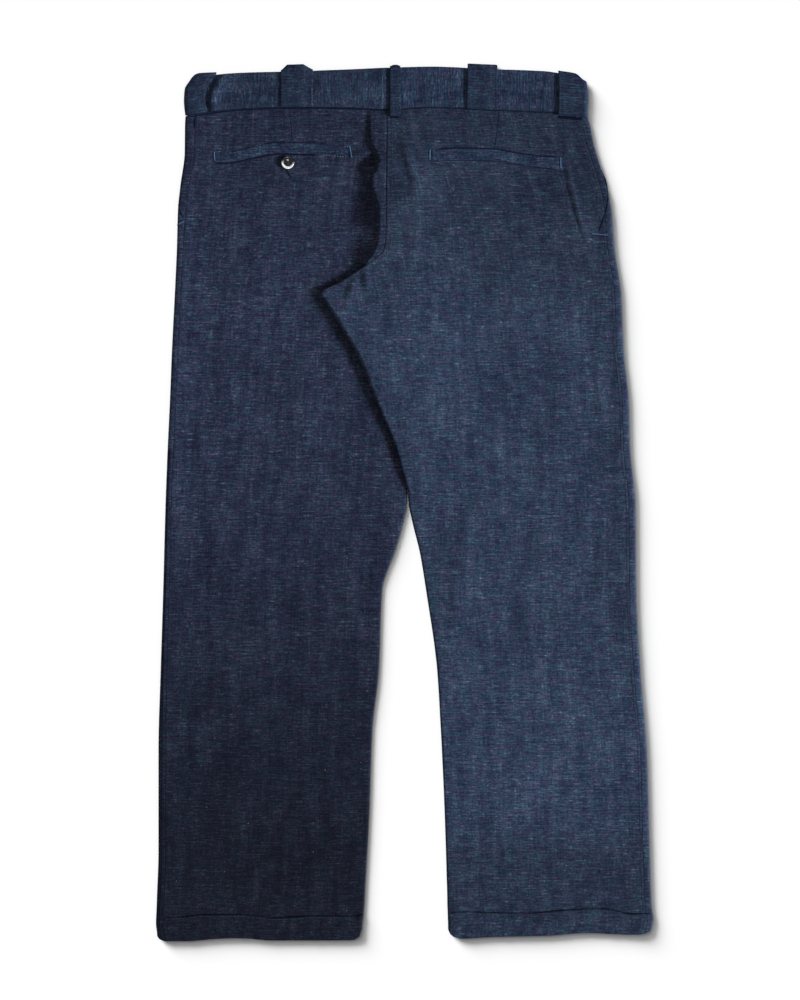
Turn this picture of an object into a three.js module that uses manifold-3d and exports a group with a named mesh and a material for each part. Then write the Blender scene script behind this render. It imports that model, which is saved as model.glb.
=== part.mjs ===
// Straight-leg baker trousers laid flat with the back up, in millimetres.
// X runs across, Y from the hems up to the waist, Z up from the surface that they lie on.
// The left leg is at -X. The right half laps over it at the crotch, so that the fork of both
// legs makes a flap: from the floor up it holds the left front, the left back, their two
// returns, the right front and the right back.

import * as THREE from "three";
import { mergeVertices } from "three/addons/utils/BufferGeometryUtils.js";
import Module from "manifold-3d";

// Colours
const INDIGO_LEFT = 0x2b3246;
const INDIGO_RIGHT = 0x323c51;
const INDIGO_FRONT = 0x2e374b;
const INDIGO_BAND = 0x2a3449;
const INDIGO_LOOP = 0x2c3a4e;
const HORN = 0x17171c;

// Cloth
const WALL = 1.2;
const SEAM = 0.3;
const PITCH = WALL + SEAM;
const HALF = WALL / 2;
const HEM_TURN = 0.9;
const HEM_TOP = -452;
const HEM_END = -483;

// Levels between which the sections are straight across, and the waist end of the panels
const WAIST_ROW = 436;
const BEND_TOP = 395;
const BEND_HEM = -435;

// Levels between which both layers of the flap are turned right over
const FLAP = { low: 61.5, middle: 150, front: 258 };

// Heights of the middle of each layer
const FLOOR_Z = HALF;
const LOW_Z = 2.5;
const RETURN_Z = LOW_Z + 1.8;
const UPPER_RETURN_Z = RETURN_Z + PITCH + 0.3;
const HEM_LIFT = 1.7;

// Soft fold at the sides, and how far the front wraps round it to the outseam
const SIDE_R = 2.4;
const SIDE_SPREAD = 24;
const WRAP_LEFT = 9;
const WRAP_RIGHT = 7;

// Inner edges: how far the cloth swells there, and where the front tucks under
const EDGE_SPREAD = 34;
const CREST_LEFT = 3.4;
const TUCK = 0.2;
const TAIL_INSET = 1.5;
const SHORT_TAIL = 0.4;
const RIDE_RAMP = 24;
const BEND_STEPS = 6;
const ACROSS_LEFT = [0, 0.06, 0.13, 0.22, 0.34, 0.48, 0.62, 0.76, 0.89];
const RAMP_STEPS = 5;
const RAMP_GAP = 3;
const SIDE_STEPS = 5;
const PRESSED = 34;

// Ridge beside the centre-back seam
const RIDGE_SHELF = 7;
const RIDGE_FOOT = 16;

// Waistband, a folded strip with its ends meeting at the centre front
const BAND_WALL = 1.8;
const BAND_HALF = BAND_WALL / 2;
const BAND_TOP_Z = 3.8;
const BAND_R = (BAND_TOP_Z - BAND_HALF) / 2;
const BAND_LEFT = -239;
const BAND_RIGHT = 198.4;
const CENTRE_FRONT = -19;
const BAND_STEPS = { front: 9, back: 18, turn: 6, up: 3 };

// Belt loops: the edges along the waistband's outside and how far each leans from foot to top,
// how far the foot is below the waist seam, how far the crown stands above the band, and how
// deep it hooks over
const LOOP_WALL = 1.5;
const LOOP_STAND = 1.9;
const LOOP_COLUMNS = 4;
const LOOP_LEVELS = [0, 0.08, 0.25, 0.5, 0.75, 0.92];
const LOOP_HEAD = { bend: 0.5, tip: 0.7 };
const LOOPS = [
  { name: "loop_side_left", left: -240.4, right: -213.8, leanLeft: 0, leanRight: 8, below: -1,
    proud: 2.4, hook: 1.5 },
  { name: "loop_back_left", left: -136, right: -100.8, leanLeft: 0, leanRight: 0, below: 0,
    proud: 7.4, hook: 3 },
  { name: "loop_centre", left: -16, right: -2.8, leanLeft: 0, leanRight: 0, below: 8,
    proud: 2.2, hook: 3 },
  { name: "loop_back_right", left: 68.8, right: 101.8, leanLeft: 1, leanRight: -1, below: 0.5,
    proud: 4.4, hook: 3 },
  { name: "loop_side_right", left: 169, right: 199, leanLeft: 0, leanRight: 0, below: 0,
    proud: 2.4, hook: 1.5 },
];

// Back pockets: the welt's lower and upper edge
const WELT_WALL = 0.9;
const WELT_STEPS = 12;
const WELT_REACH = 4;
const WELT_LEFT = [
  { x: -208, low: 374.6, high: 385.2 },
  { x: -188, low: 375.4, high: 386.4 },
  { x: -163, low: 381, high: 392 },
  { x: -142, low: 384.6, high: 395.4 },
  { x: -100, low: 384, high: 395 },
  { x: -60, low: 380.6, high: 392.6 },
];
const WELT_RIGHT = [
  { x: 28, low: 375.4, high: 387 },
  { x: 52, low: 376.6, high: 389.2 },
  { x: 98, low: 377.2, high: 388.4 },
  { x: 122, low: 373.2, high: 384.4 },
  { x: 148, low: 369.4, high: 381 },
  { x: 171, low: 367.4, high: 379.6 },
];

// Button of the left back pocket
const BUTTON = { x: -128.2, y: 374, radius: 7.4, thick: 2.6, rim: 0.9, hole: 0.9, spread: 1.5 };
const BUTTON_SIDES = 28;
const BUTTON_EDGE = 0.8;
const HOLE_SIDES = 10;

// Side pockets' mouths in the outseams: they gape a little between these levels
const MOUTHS = { left: { from: 308, to: 372 }, right: { from: 296, to: 366 } };
const MOUTH_GAPE = 1;
const MOUTH_END = 12;

// Outer edges of the two halves
const SIDES = [
  { y: 436, left: -240.6, right: 198.4 },
  { y: 408, left: -241.5, right: 204 },
  { y: 385, left: -241.8, right: 210.6 },
  { y: 350, left: -246.4, right: 221.4 },
  { y: 322, left: -249.2, right: 227.2 },
  { y: 280, left: -250.6, right: 229.6 },
  { y: 231, left: -252.6, right: 237.4 },
  { y: 168, left: -255.6, right: 241 },
  { y: 80, left: -259, right: 247 },
  { y: 0, left: -262.2, right: 252 },
  { y: -96, left: -264.8, right: 255.8 },
  { y: -184, left: -268, right: 260.4 },
  { y: -272, left: -270, right: 265.8 },
  { y: -382, left: -270.6, right: 269 },
  { y: -440, left: -272.6, right: 271 },
  { y: -462, left: -273.4, right: 273.4 },
  { y: -483, left: -272, right: 271.4 },
];

// Inner edges, from the waist to the hem.
// fold: the left leg's inner fold; edge: the right half's inner edge, which is the centre-back
// seam above the flap; crest: height of that edge; lap: 0 where the backs meet at the seam and
// 1 where the right one lies over; ride: how high the right front rides over the left leg;
// turn: how far the left front turns up at the fold, in degrees;
// down: 1 where the left back turns down to the front at the inseam.
const INNER = [
  { y: 436, fold: -19, edge: -19, crest: 3.2, lap: 0, ride: 0, turn: 0, down: 0 },
  { y: 400, fold: -19, edge: -19, crest: 6.2, lap: 0, ride: 0, turn: 0, down: 0 },
  { y: 352, fold: -19.4, edge: -19.6, crest: 9.6, lap: 0, ride: 0, turn: 0, down: 0 },
  { y: 300, fold: -20, edge: -20, crest: 11, lap: 0, ride: 7.3, turn: 0, down: 0 },
  { y: 286, fold: -20, edge: -21.6, crest: 11.2, lap: 0.3, ride: 7.3, turn: 0, down: 0 },
  { y: 276, fold: -19, edge: -26, crest: 11.2, lap: 0.8, ride: 7.3, turn: 0, down: 0 },
  { y: 272, fold: -18, edge: -29.4, crest: 11.2, lap: 1, ride: 7.3, turn: 0, down: 0 },
  { y: 260, fold: -16, edge: -46, crest: 11.2, lap: 1, ride: 7.3, turn: 180, down: 0 },
  { y: 246, fold: -13, edge: -69, crest: 11.6, lap: 1, ride: 7.4, turn: 180, down: 0 },
  { y: 232, fold: -11, edge: -93, crest: 12.4, lap: 1, ride: 7.8, turn: 180, down: 0 },
  { y: 222, fold: -10, edge: -87.4, crest: 12, lap: 1, ride: 7.8, turn: 180, down: 0 },
  { y: 202, fold: -8, edge: -75.2, crest: 10.8, lap: 1, ride: 7.4, turn: 180, down: 0 },
  { y: 158, fold: -4, edge: -49.2, crest: 9.8, lap: 1, ride: 7.3, turn: 180, down: 0 },
  { y: 110, fold: -1, edge: -30, crest: 9.4, lap: 1, ride: 7.3, turn: 180, down: 0 },
  { y: 62, fold: 1.4, edge: -9.4, crest: 9.4, lap: 1, ride: 7.3, turn: 180, down: 0 },
  { y: 44, fold: 2, edge: -4.4, crest: 9.2, lap: 1, ride: 6.8, turn: 0, down: 0 },
  { y: 25, fold: 2.6, edge: 0.6, crest: 8, lap: 1, ride: 5.6, turn: 0, down: 1 },
  { y: 11, fold: 2.8, edge: 3.6, crest: 6, lap: 1, ride: 3.4, turn: 0, down: 1 },
  { y: 0, fold: 2.4, edge: 4.4, crest: 4.6, lap: 1, ride: 1.6, turn: 0, down: 1 },
  { y: -28, fold: -3.4, edge: 10.2, crest: 3.4, lap: 1, ride: 0, turn: 0, down: 1 },
  { y: -52, fold: -10.5, edge: 16.2, crest: 3.4, lap: 1, ride: 0, turn: 0, down: 1 },
  { y: -96, fold: -23.6, edge: 24, crest: 3.4, lap: 1, ride: 0, turn: 0, down: 1 },
  { y: -184, fold: -28.6, edge: 35.8, crest: 3.4, lap: 1, ride: 0, turn: 0, down: 1 },
  { y: -250, fold: -35.8, edge: 39.8, crest: 3.4, lap: 1, ride: 0, turn: 0, down: 1 },
  { y: -340, fold: -40, edge: 44.6, crest: 3.4, lap: 1, ride: 0, turn: 0, down: 1 },
  { y: -440, fold: -45.6, edge: 47.8, crest: 3.4, lap: 1, ride: 0, turn: 0, down: 1 },
  { y: -483, fold: -48, edge: 49, crest: 3.4, lap: 1, ride: 0, turn: 0, down: 1 },
];

// Waist seam and top edge of the waistband, across
const WAIST = [
  { x: -241, seam: 424.5, top: 462 },
  { x: -228, seam: 427, top: 469 },
  { x: -206, seam: 430.6, top: 471 },
  { x: -180, seam: 433.4, top: 473 },
  { x: -120, seam: 435.4, top: 474.6 },
  { x: -60, seam: 434.8, top: 476.8 },
  { x: -19, seam: 432.6, top: 478.6 },
  { x: 30, seam: 435.4, top: 479.8 },
  { x: 90, seam: 433, top: 477.2 },
  { x: 150, seam: 430.6, top: 475 },
  { x: 170, seam: 429.6, top: 472.6 },
  { x: 188, seam: 428.4, top: 469.6 },
  { x: 200, seam: 427.6, top: 461 },
];

// Hem line of each leg, across
const HEM_LINES = {
  left: [
    { x: -274, y: -472 },
    { x: -268, y: -479 },
    { x: -258, y: -482.4 },
    { x: -243, y: -483 },
    { x: -200, y: -480.8 },
    { x: -150, y: -480.6 },
    { x: -90, y: -481.8 },
    { x: -62, y: -481.4 },
    { x: -48, y: -476.5 },
  ],
  right: [
    { x: 47, y: -466 },
    { x: 55, y: -475.5 },
    { x: 66, y: -479 },
    { x: 100, y: -479 },
    { x: 150, y: -478.4 },
    { x: 190, y: -475.4 },
    { x: 240, y: -473.4 },
    { x: 266, y: -471.6 },
    { x: 274, y: -466 },
  ],
};

// Largest folds of the upper cloth: soft ridges, and troughs where height is below 0
const FOLDS = [
  { x: -150, y: 300, angle: 62, length: 90, width: 26, height: 1.6 },
  { x: -52, y: 318, angle: 84, length: 90, width: 17, height: -0.5 },
  { x: -92, y: 372, angle: 40, length: 46, width: 20, height: 1.4 },
  { x: -196, y: 130, angle: 78, length: 150, width: 30, height: 1 },
  { x: -110, y: 70, angle: 96, length: 120, width: 24, height: 1.2 },
  { x: -190, y: -150, angle: 88, length: 190, width: 36, height: 1.1 },
  { x: -100, y: -300, angle: 94, length: 150, width: 30, height: 1 },
  { x: 188, y: 316, angle: 108, length: 62, width: 14, height: 1.6 },
  { x: 90, y: 300, angle: 100, length: 110, width: 34, height: 1.4 },
  { x: 170, y: 110, angle: 84, length: 170, width: 30, height: 1 },
  { x: 80, y: -20, angle: 74, length: 140, width: 26, height: 1.3 },
  { x: 190, y: -190, angle: 92, length: 170, width: 32, height: 1 },
  { x: 120, y: -330, angle: 88, length: 130, width: 34, height: 1.2 },
];

// Levels of the sections: closer where the flap starts and ends, and at the hem
const HEM_ROWS = [BEND_HEM, HEM_TOP + 0.5, HEM_TOP - 0.5, -467, HEM_END];
const LEFT_ROWS = [WAIST_ROW, 422, 395, 370, 345, 320, 300, 286, 276, 272, 268, 264, 260, 256, 245,
  232, 215, 190, 155, 110, 75, 62, 56, 50, 44, 34, 25, 11, 0, -28, -60, -96, -180, -270, -360,
  ...HEM_ROWS];
const RIGHT_ROWS = [WAIST_ROW, 422, 395, 370, 345, 320, 300, 286, 276, 266, 256, 244, 232, 222, 204,
  180, 150, 110, 75, 50, 25, 11, 0, -14, -34, -60, -96, -180, -270, -360, ...HEM_ROWS];

// Smooth curve through a table's column, with no overshoot between its rows
function curve(table, along, column) {
  const rows = [...table].sort((a, b) => a[along] - b[along]);
  const at = rows.map((row) => row[along]);
  const value = rows.map((row) => row[column]);
  const rise = at.slice(1).map((t, i) => (value[i + 1] - value[i]) / (t - at[i]));
  const slope = at.map((t, i) => {
    if (i === 0 || i === at.length - 1) return 0;
    if (rise[i - 1] * rise[i] <= 0) return 0;
    return (2 * rise[i - 1] * rise[i]) / (rise[i - 1] + rise[i]);
  });
  return (t) => {
    if (t <= at[0]) return value[0];
    if (t >= at[at.length - 1]) return value[at.length - 1];
    let i = 0;
    while (t > at[i + 1]) i += 1;
    const h = at[i + 1] - at[i];
    const u = (t - at[i]) / h;
    const a = value[i] * (1 + 2 * u) * (1 - u) ** 2 + value[i + 1] * u * u * (3 - 2 * u);
    return a + h * (slope[i] * u * (1 - u) ** 2 - slope[i + 1] * u * u * (1 - u));
  };
}

const leftOut = curve(SIDES, "y", "left");
const rightOut = curve(SIDES, "y", "right");
const fold = curve(INNER, "y", "fold");
const edge = curve(INNER, "y", "edge");
const crest = curve(INNER, "y", "crest");
const lap = curve(INNER, "y", "lap");
const ride = curve(INNER, "y", "ride");
const frontTurn = curve(INNER, "y", "turn");
const down = curve(INNER, "y", "down");
const waistSeam = curve(WAIST, "x", "seam");
const waistTop = curve(WAIST, "x", "top");
const hemLine = { left: curve(HEM_LINES.left, "x", "y"), right: curve(HEM_LINES.right, "x", "y") };

const backTurn = (row) => (row > FLAP.middle ? 180 : frontTurn(row));

const mix = (a, b, t) => a + (b - a) * t;
const clamp = (t) => Math.min(1, Math.max(0, t));
const smooth = (t) => clamp(t) ** 2 * (3 - 2 * clamp(t));
const bell = (t) => Math.exp(-t * t);
const steps = (n) => Array.from({ length: n + 1 }, (_, i) => i / n);
const mixPath = (a, b, t) => a.map((p, i) => [mix(p[0], b[i][0], t), mix(p[1], b[i][1], t)]);

// Level of a point: the sections bend to the waist seam at the top and to the hem line below
function level(side, row, x) {
  if (row > BEND_TOP) {
    return mix(row, waistSeam(x) - SEAM / 2, (row - BEND_TOP) / (WAIST_ROW - BEND_TOP));
  }
  if (row >= BEND_HEM) return row;
  const share = (BEND_HEM - row) / (BEND_HEM - HEM_END);
  return row + share * (hemLine[side](x) - HEM_END);
}

// How much wider than a seam the gap at the outseam is
function gape(side, row) {
  const { from, to } = MOUTHS[side];
  return MOUTH_GAPE * smooth((row - from) / MOUTH_END) * smooth((to - row) / MOUTH_END);
}

const hemShare = (row) => (row < HEM_TOP ? 1 : 0);

// Height that the folds add at a point
function folds(x, y) {
  return FOLDS.reduce((sum, f) => {
    const a = THREE.MathUtils.degToRad(f.angle);
    const along = (x - f.x) * Math.cos(a) + (y - f.y) * Math.sin(a);
    const across = (y - f.y) * Math.cos(a) - (x - f.x) * Math.sin(a);
    return sum + f.height * bell(across / f.width) * bell(along / f.length);
  }, 0);
}

// Points of an arc from angle a to b, in degrees from straight down, turning towards +x
function arc(cx, cz, radius, a, b, count) {
  return steps(count).map((t) => {
    const angle = THREE.MathUtils.degToRad(mix(a, b, t));
    return [cx + radius * Math.sin(angle), cz - radius * Math.cos(angle)];
  });
}

// Height of the middle of the left half's upper cloth
function leftTop(row, x) {
  const start = leftOut(row) + HALF + SIDE_R;
  const inner = mix(edge(row), fold(row), down(row));
  const open = smooth((inner - x) / PRESSED);
  const side = (FLOOR_Z + 2 * SIDE_R - LOW_Z) * bell((x - start) / SIDE_SPREAD);
  const swell = (CREST_LEFT - LOW_Z) * down(row) * bell((x - fold(row)) / EDGE_SPREAD);
  const hem = HEM_LIFT * hemShare(row) * (1 - bell((x - start) / SIDE_SPREAD));
  const away = 1 - bell((x - start) / SIDE_SPREAD);
  return LOW_Z + side + swell + hem + open * away * Math.max(0, folds(x, row));
}

// Height of the middle of the right front: on the floor, and over the left leg at the flap
function rightFloor(row, x) {
  return FLOOR_Z + ride(row) * smooth((fold(row) + RIDE_RAMP - x) / RIDE_RAMP);
}

// Height of the middle of the right half's upper cloth
function rightTop(row, x) {
  const start = rightOut(row) - HALF - SIDE_R;
  const under = rightFloor(row, x);
  const edgeUnder = rightFloor(row, edge(row));
  const base = LOW_Z - FLOOR_Z;
  const side = (2 * SIDE_R - base) * bell((start - x) / SIDE_SPREAD);
  const rise = (crest(row) - edgeUnder - base) * bell((x - edge(row)) / EDGE_SPREAD);
  const hem = HEM_LIFT * hemShare(row) * (1 - bell((start - x) / SIDE_SPREAD));
  const away = (1 - bell((start - x) / SIDE_SPREAD)) * smooth((x - edge(row)) / PRESSED);
  return under + base + side + rise + hem + away * Math.max(0, folds(x, row));
}

// Turn of a layer at the fold, from straight ahead up and back over itself, with its tail
function turnPath(cx, z, radius, turn, tail) {
  if (turn < 1) return steps(BEND_STEPS + 2).map((t) => [cx + (radius + HALF) * t, z]);
  const angle = THREE.MathUtils.degToRad(turn);
  const bend = arc(cx, z + radius, radius, 0, turn, BEND_STEPS);
  const [x0, z0] = bend[bend.length - 1];
  const run = [0.5, 1].map((t) => [
    x0 + tail * t * Math.cos(angle), z0 + tail * t * Math.sin(angle)]);
  return [...bend, ...run];
}

const foldCentre = (row) => fold(row) - HALF - (UPPER_RETURN_Z - FLOOR_Z) / 2;
const insideOf = (row) => HALF + hemShare(row) * HEM_TURN;

// Section of the left front, from its inner edge along the floor and round the side
function frontLeft(row) {
  const radius = (UPPER_RETURN_Z - FLOOR_Z) / 2;
  const cx = foldCentre(row);
  const whole = row < FLAP.front && row > FLAP.low;
  const tail = whole ? cx - edge(row) - TAIL_INSET : SHORT_TAIL;
  const inner = turnPath(cx, FLOOR_Z, radius, frontTurn(row), tail);
  const sideX = leftOut(row) + HALF + SIDE_R;
  const floor = [0.3, 0.6, 0.85].map((t) => [mix(cx, sideX, t), FLOOR_Z]);
  const round = arc(sideX, FLOOR_Z + SIDE_R, SIDE_R, 0, -180, SIDE_STEPS);
  const outseam = leftOut(row) + WRAP_LEFT - SEAM / 2;
  const wrap = [0.5, 1].map((t) => mix(sideX, outseam, t)).map((x) => [x, leftTop(row, x)]);
  return [...inner.reverse(), ...floor, ...round, ...wrap];
}

// Quarter turn of an upper layer down to the front beneath it, seen towards +x
function turnedDown(outer, top, bottom) {
  const radius = top - bottom;
  return arc(outer - HALF - radius, bottom, radius, 180, 90, BEND_STEPS + 2);
}

// Section of the left back, from the outseam across, to the ridge, the flap or the inseam
function backLeft(row) {
  const outseam = leftOut(row) + WRAP_LEFT + SEAM / 2 + gape("left", row);
  const bottom = FLOOR_Z + insideOf(row) + SEAM;
  const top = leftTop(row, fold(row));
  const cx = foldCentre(row);
  const foot = mix(edge(row) - RIDGE_FOOT, cx, lap(row));
  const end = mix(foot, fold(row) - HALF - (top - bottom), down(row));
  const upper = ACROSS_LEFT.map((t) => mix(outseam, end, t)).map((x) => [x, leftTop(row, x)]);

  const footZ = leftTop(row, foot);
  const shelf = edge(row) - RIDGE_SHELF;
  const flank = steps(BEND_STEPS).map((t) => [
    mix(foot, shelf, t), mix(footZ, crest(row), smooth(t))]);
  const seam = [0.5, 1].map((t) => [mix(shelf, edge(row) - SEAM / 2, t), crest(row)]);

  const radius = (RETURN_Z - LOW_Z) / 2;
  const reach = Math.max(SHORT_TAIL, cx - edge(row) - TAIL_INSET);
  const tail = row > FLAP.low ? reach : SHORT_TAIL;
  const flap = turnPath(cx, LOW_Z, radius, backTurn(row), tail);
  const inner = mixPath([...flank, ...seam], flap, lap(row));
  return [...upper, ...mixPath(inner, turnedDown(fold(row), top, bottom), down(row))];
}

// Places across the right half's layers, from the inner edge over the ramp and on to the side
function acrossRight(row, start, end, lapSteps, restSteps) {
  const rampEnd = Math.max(start + RIDE_RAMP, fold(row) + RIDE_RAMP);
  const rampStart = Math.max(start + RAMP_GAP, fold(row));
  const lapped = steps(lapSteps).slice(0, -1).map((t) => mix(start, rampStart, t));
  const ramp = steps(RAMP_STEPS).map((t) => mix(rampStart, rampEnd, t));
  const rest = steps(restSteps).slice(1, -1).map((t) => mix(rampEnd, end, t));
  return [...lapped, ...ramp, ...rest];
}

// Section of the right front, from its inner edge to the side and round it
function frontRight(row) {
  const start = mix(fold(row) + SEAM, edge(row) + TUCK, lap(row));
  const sideX = rightOut(row) - HALF - SIDE_R;
  const floor = acrossRight(row, start, sideX, 3, 3).map((x) => [x, rightFloor(row, x)]);
  const round = arc(sideX, FLOOR_Z + SIDE_R, SIDE_R, 0, 180, SIDE_STEPS);
  const outseam = rightOut(row) - WRAP_RIGHT + SEAM / 2;
  const wrap = [0.5, 1].map((t) => mix(sideX, outseam, t)).map((x) => [x, rightTop(row, x)]);
  return [...floor, ...round, ...wrap];
}

// Section of the right back, from the outseam across to the centre-back seam or its free edge
function backRight(row) {
  const outseam = rightOut(row) - WRAP_RIGHT - SEAM / 2 - gape("right", row);
  const bottom = rightFloor(row, edge(row) + TUCK) + insideOf(row) + SEAM;
  const top = rightTop(row, edge(row));
  const reach = HALF + top - bottom;
  const end = mix(edge(row) + SEAM / 2 + RAMP_GAP, edge(row) + reach, lap(row));
  const places = [outseam, ...acrossRight(row, end, outseam, 3, 8).slice(1).reverse()];
  const upper = places.map((x) => [x, rightTop(row, x)]);
  const seam = steps(BEND_STEPS - 1).map((t) => mix(end, edge(row) + SEAM / 2, t));
  const open = seam.map((x) => [x, rightTop(row, x)]);
  const free = arc(edge(row) + reach, bottom, top - bottom, -180, -90, BEND_STEPS - 1);
  return [...upper, ...mixPath(open, free, lap(row))];
}

// Points of a path moved to both sides in its own plane, kept parallel at its corners
function offsetPath(path, turn, outside, inside) {
  const unit = (a, b) => {
    const size = Math.hypot(b[0] - a[0], b[1] - a[1]);
    return [(b[0] - a[0]) / size, (b[1] - a[1]) / size];
  };
  return path.map((p, i) => {
    const before = unit(path[Math.max(0, i - 1)], path[Math.max(1, i)]);
    const after = unit(path[Math.min(path.length - 2, i)], path[Math.min(path.length - 1, i + 1)]);
    const sum = [before[0] + after[0], before[1] + after[1]];
    const half = Math.hypot(sum[0], sum[1]) / 2;
    const normal = [turn * sum[1] / 2 / half ** 2, -turn * sum[0] / 2 / half ** 2];
    return {
      outer: [p[0] - normal[0] * outside, p[1] - normal[1] * outside],
      inner: [p[0] + normal[0] * inside, p[1] + normal[1] * inside],
    };
  });
}

// Closed wall between two grids of points, its rims included
function wall(name, outer, inner, color) {
  const rows = outer.length;
  const cols = outer[0].length;
  const position = [...outer.flat(), ...inner.flat()].flat();
  const id = (r, c, layer) => (layer * rows + r) * cols + c;
  const index = [];
  const quad = (a, b, c, d) => index.push(a, b, c, a, c, d);
  for (let r = 0; r < rows - 1; r += 1) {
    for (let c = 0; c < cols - 1; c += 1) {
      quad(id(r, c, 0), id(r, c + 1, 0), id(r + 1, c + 1, 0), id(r + 1, c, 0));
      quad(id(r, c, 1), id(r + 1, c, 1), id(r + 1, c + 1, 1), id(r, c + 1, 1));
    }
    quad(id(r, 0, 1), id(r, 0, 0), id(r + 1, 0, 0), id(r + 1, 0, 1));
    quad(id(r, cols - 1, 0), id(r, cols - 1, 1), id(r + 1, cols - 1, 1), id(r + 1, cols - 1, 0));
  }
  for (let c = 0; c < cols - 1; c += 1) {
    quad(id(0, c, 0), id(0, c, 1), id(0, c + 1, 1), id(0, c + 1, 0));
    quad(id(rows - 1, c, 1), id(rows - 1, c, 0), id(rows - 1, c + 1, 0), id(rows - 1, c + 1, 1));
  }
  return solid(name, position, index, color);
}

// Mesh of closed triangles, turned so that its faces point out
function solid(name, position, index, color, roughness = 0.9) {
  const point = (i) => new THREE.Vector3().fromArray(position, 3 * i);
  let volume = 0;
  for (let i = 0; i < index.length; i += 3) {
    const [a, b, c] = [point(index[i]), point(index[i + 1]), point(index[i + 2])];
    volume += a.dot(b.cross(c)) / 6;
  }
  const turned = volume < 0 ? index.map((_, i) => index[i - (i % 3) + 2 - (i % 3)]) : index;
  const geometry = new THREE.BufferGeometry();
  geometry.setAttribute("position", new THREE.Float32BufferAttribute(position, 3));
  geometry.setIndex(turned);
  geometry.computeVertexNormals();
  const mesh = new THREE.Mesh(geometry, new THREE.MeshStandardMaterial({ color, roughness }));
  mesh.name = name;
  return mesh;
}

// Panel through its sections, one at each level
function panel(name, side, rows, section, color) {
  const outer = [];
  const inner = [];
  rows.forEach((row) => {
    const sides = offsetPath(section(row), side === "left" ? 1 : -1, HALF, insideOf(row));
    const place = ([x, z]) => [x, level(side, row, x), z];
    outer.push(sides.map((s) => place(s.outer)));
    inner.push(sides.map((s) => place(s.inner)));
  });
  return wall(name, outer, inner, color);
}

// Where the waistband starts to turn down at its sides
const BEND_LEFT = BAND_LEFT + BAND_HALF + BAND_R;
const BEND_RIGHT = BAND_RIGHT - BAND_HALF - BAND_R;

// Point over the waistband's outside, at a distance along it from x = 0 and off its surface
function bandPoint(along, off) {
  const side = Math.sign(along);
  const start = side < 0 ? BEND_LEFT : BEND_RIGHT;
  const outer = BAND_R + BAND_HALF;
  const angle = Math.max(0, side * (along - start)) / outer;
  const flatX = side * Math.min(side * along, side * start);
  return [
    flatX + side * (outer + off) * Math.sin(angle),
    BAND_TOP_Z - BAND_R + (outer + off) * Math.cos(angle),
  ];
}

// Waistband: along the floor from the centre front, round the side, across the back and round
function waistband() {
  const { front, back, turn, up } = BAND_STEPS;
  const span = (a, b, count) => steps(count).slice(1, -1).map((t) => mix(a, b, t));
  const path = [
    [CENTRE_FRONT + SEAM / 2, BAND_HALF],
    ...span(CENTRE_FRONT, BEND_RIGHT, front).map((x) => [x, BAND_HALF]),
    ...arc(BEND_RIGHT, BAND_HALF + BAND_R, BAND_R, 0, 180, turn),
    ...span(BEND_RIGHT, BEND_LEFT, back).map((x) => [x, BAND_TOP_Z]),
    ...arc(BEND_LEFT, BAND_HALF + BAND_R, BAND_R, -180, 0, turn),
    ...span(BEND_LEFT, CENTRE_FRONT, front).map((x) => [x, BAND_HALF]),
    [CENTRE_FRONT - SEAM / 2, BAND_HALF],
  ];
  const sides = offsetPath(path, -1, BAND_HALF, BAND_HALF);
  const rows = steps(up).map((t) => {
    const place = ([x, z]) => [x, mix(waistSeam(x) + SEAM / 2, waistTop(x), t), z];
    return { outer: sides.map((p) => place(p.outer)), inner: sides.map((p) => place(p.inner)) };
  });
  return wall("waistband", rows.map((r) => r.outer), rows.map((r) => r.inner), INDIGO_BAND);
}

// Belt loop: up from the waist seam, standing off the band, and hooked over its top edge
function beltLoop({ name, left, right, leanLeft, leanRight, below, proud, hook }) {
  const seat = LOOP_WALL / 2 + SEAM;
  const bends = [BEND_LEFT, BEND_RIGHT].filter((x) => x > left && x < right);
  const stops = [left, ...bends, right];
  const shares = stops.slice(1).flatMap((_, i) => (
    steps(LOOP_COLUMNS).slice(i ? 1 : 0).map((t) => i + t)));
  const columns = shares.map((t) => {
    const place = (share) => {
      const at = [...stops];
      at[0] += leanLeft * (share - 0.5);
      at[at.length - 1] += leanRight * (share - 0.5);
      const i = Math.min(at.length - 2, Math.floor(t));
      return mix(at[i], at[i + 1], t - i);
    };
    const foot = waistSeam(bandPoint(place(0), 0)[0]) - below;
    const rim = waistTop(bandPoint(place(1), 0)[0]) + SEAM;
    const crown = rim + proud - LOOP_WALL / 2;
    const stand = (u) => LOOP_STAND * Math.sin(Math.PI * (u * 0.8 + 0.04));
    const rise = LOOP_LEVELS.map((u) => [mix(foot, rim, u), seat + stand(u)]);
    const over = [
      [mix(rim, crown, 0.5), seat + LOOP_HEAD.bend],
      [mix(rim, crown, 0.85), seat - LOOP_HEAD.bend],
      [crown, -LOOP_HEAD.tip],
      [crown, -hook],
    ];
    const path = [...rise, ...over];
    const sides = offsetPath(path, 1, LOOP_WALL / 2, LOOP_WALL / 2);
    const to3d = ([y, off], i) => {
      const share = Math.min(1, (path[i][0] - foot) / (rim - foot));
      const [px, pz] = bandPoint(place(share), off);
      return [px, y, pz];
    };
    return {
      outer: sides.map((p, i) => to3d(p.outer, i)),
      inner: sides.map((p, i) => to3d(p.inner, i)),
    };
  });
  return wall(name, columns.map((c) => c.outer), columns.map((c) => c.inner), INDIGO_LOOP);
}

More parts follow.
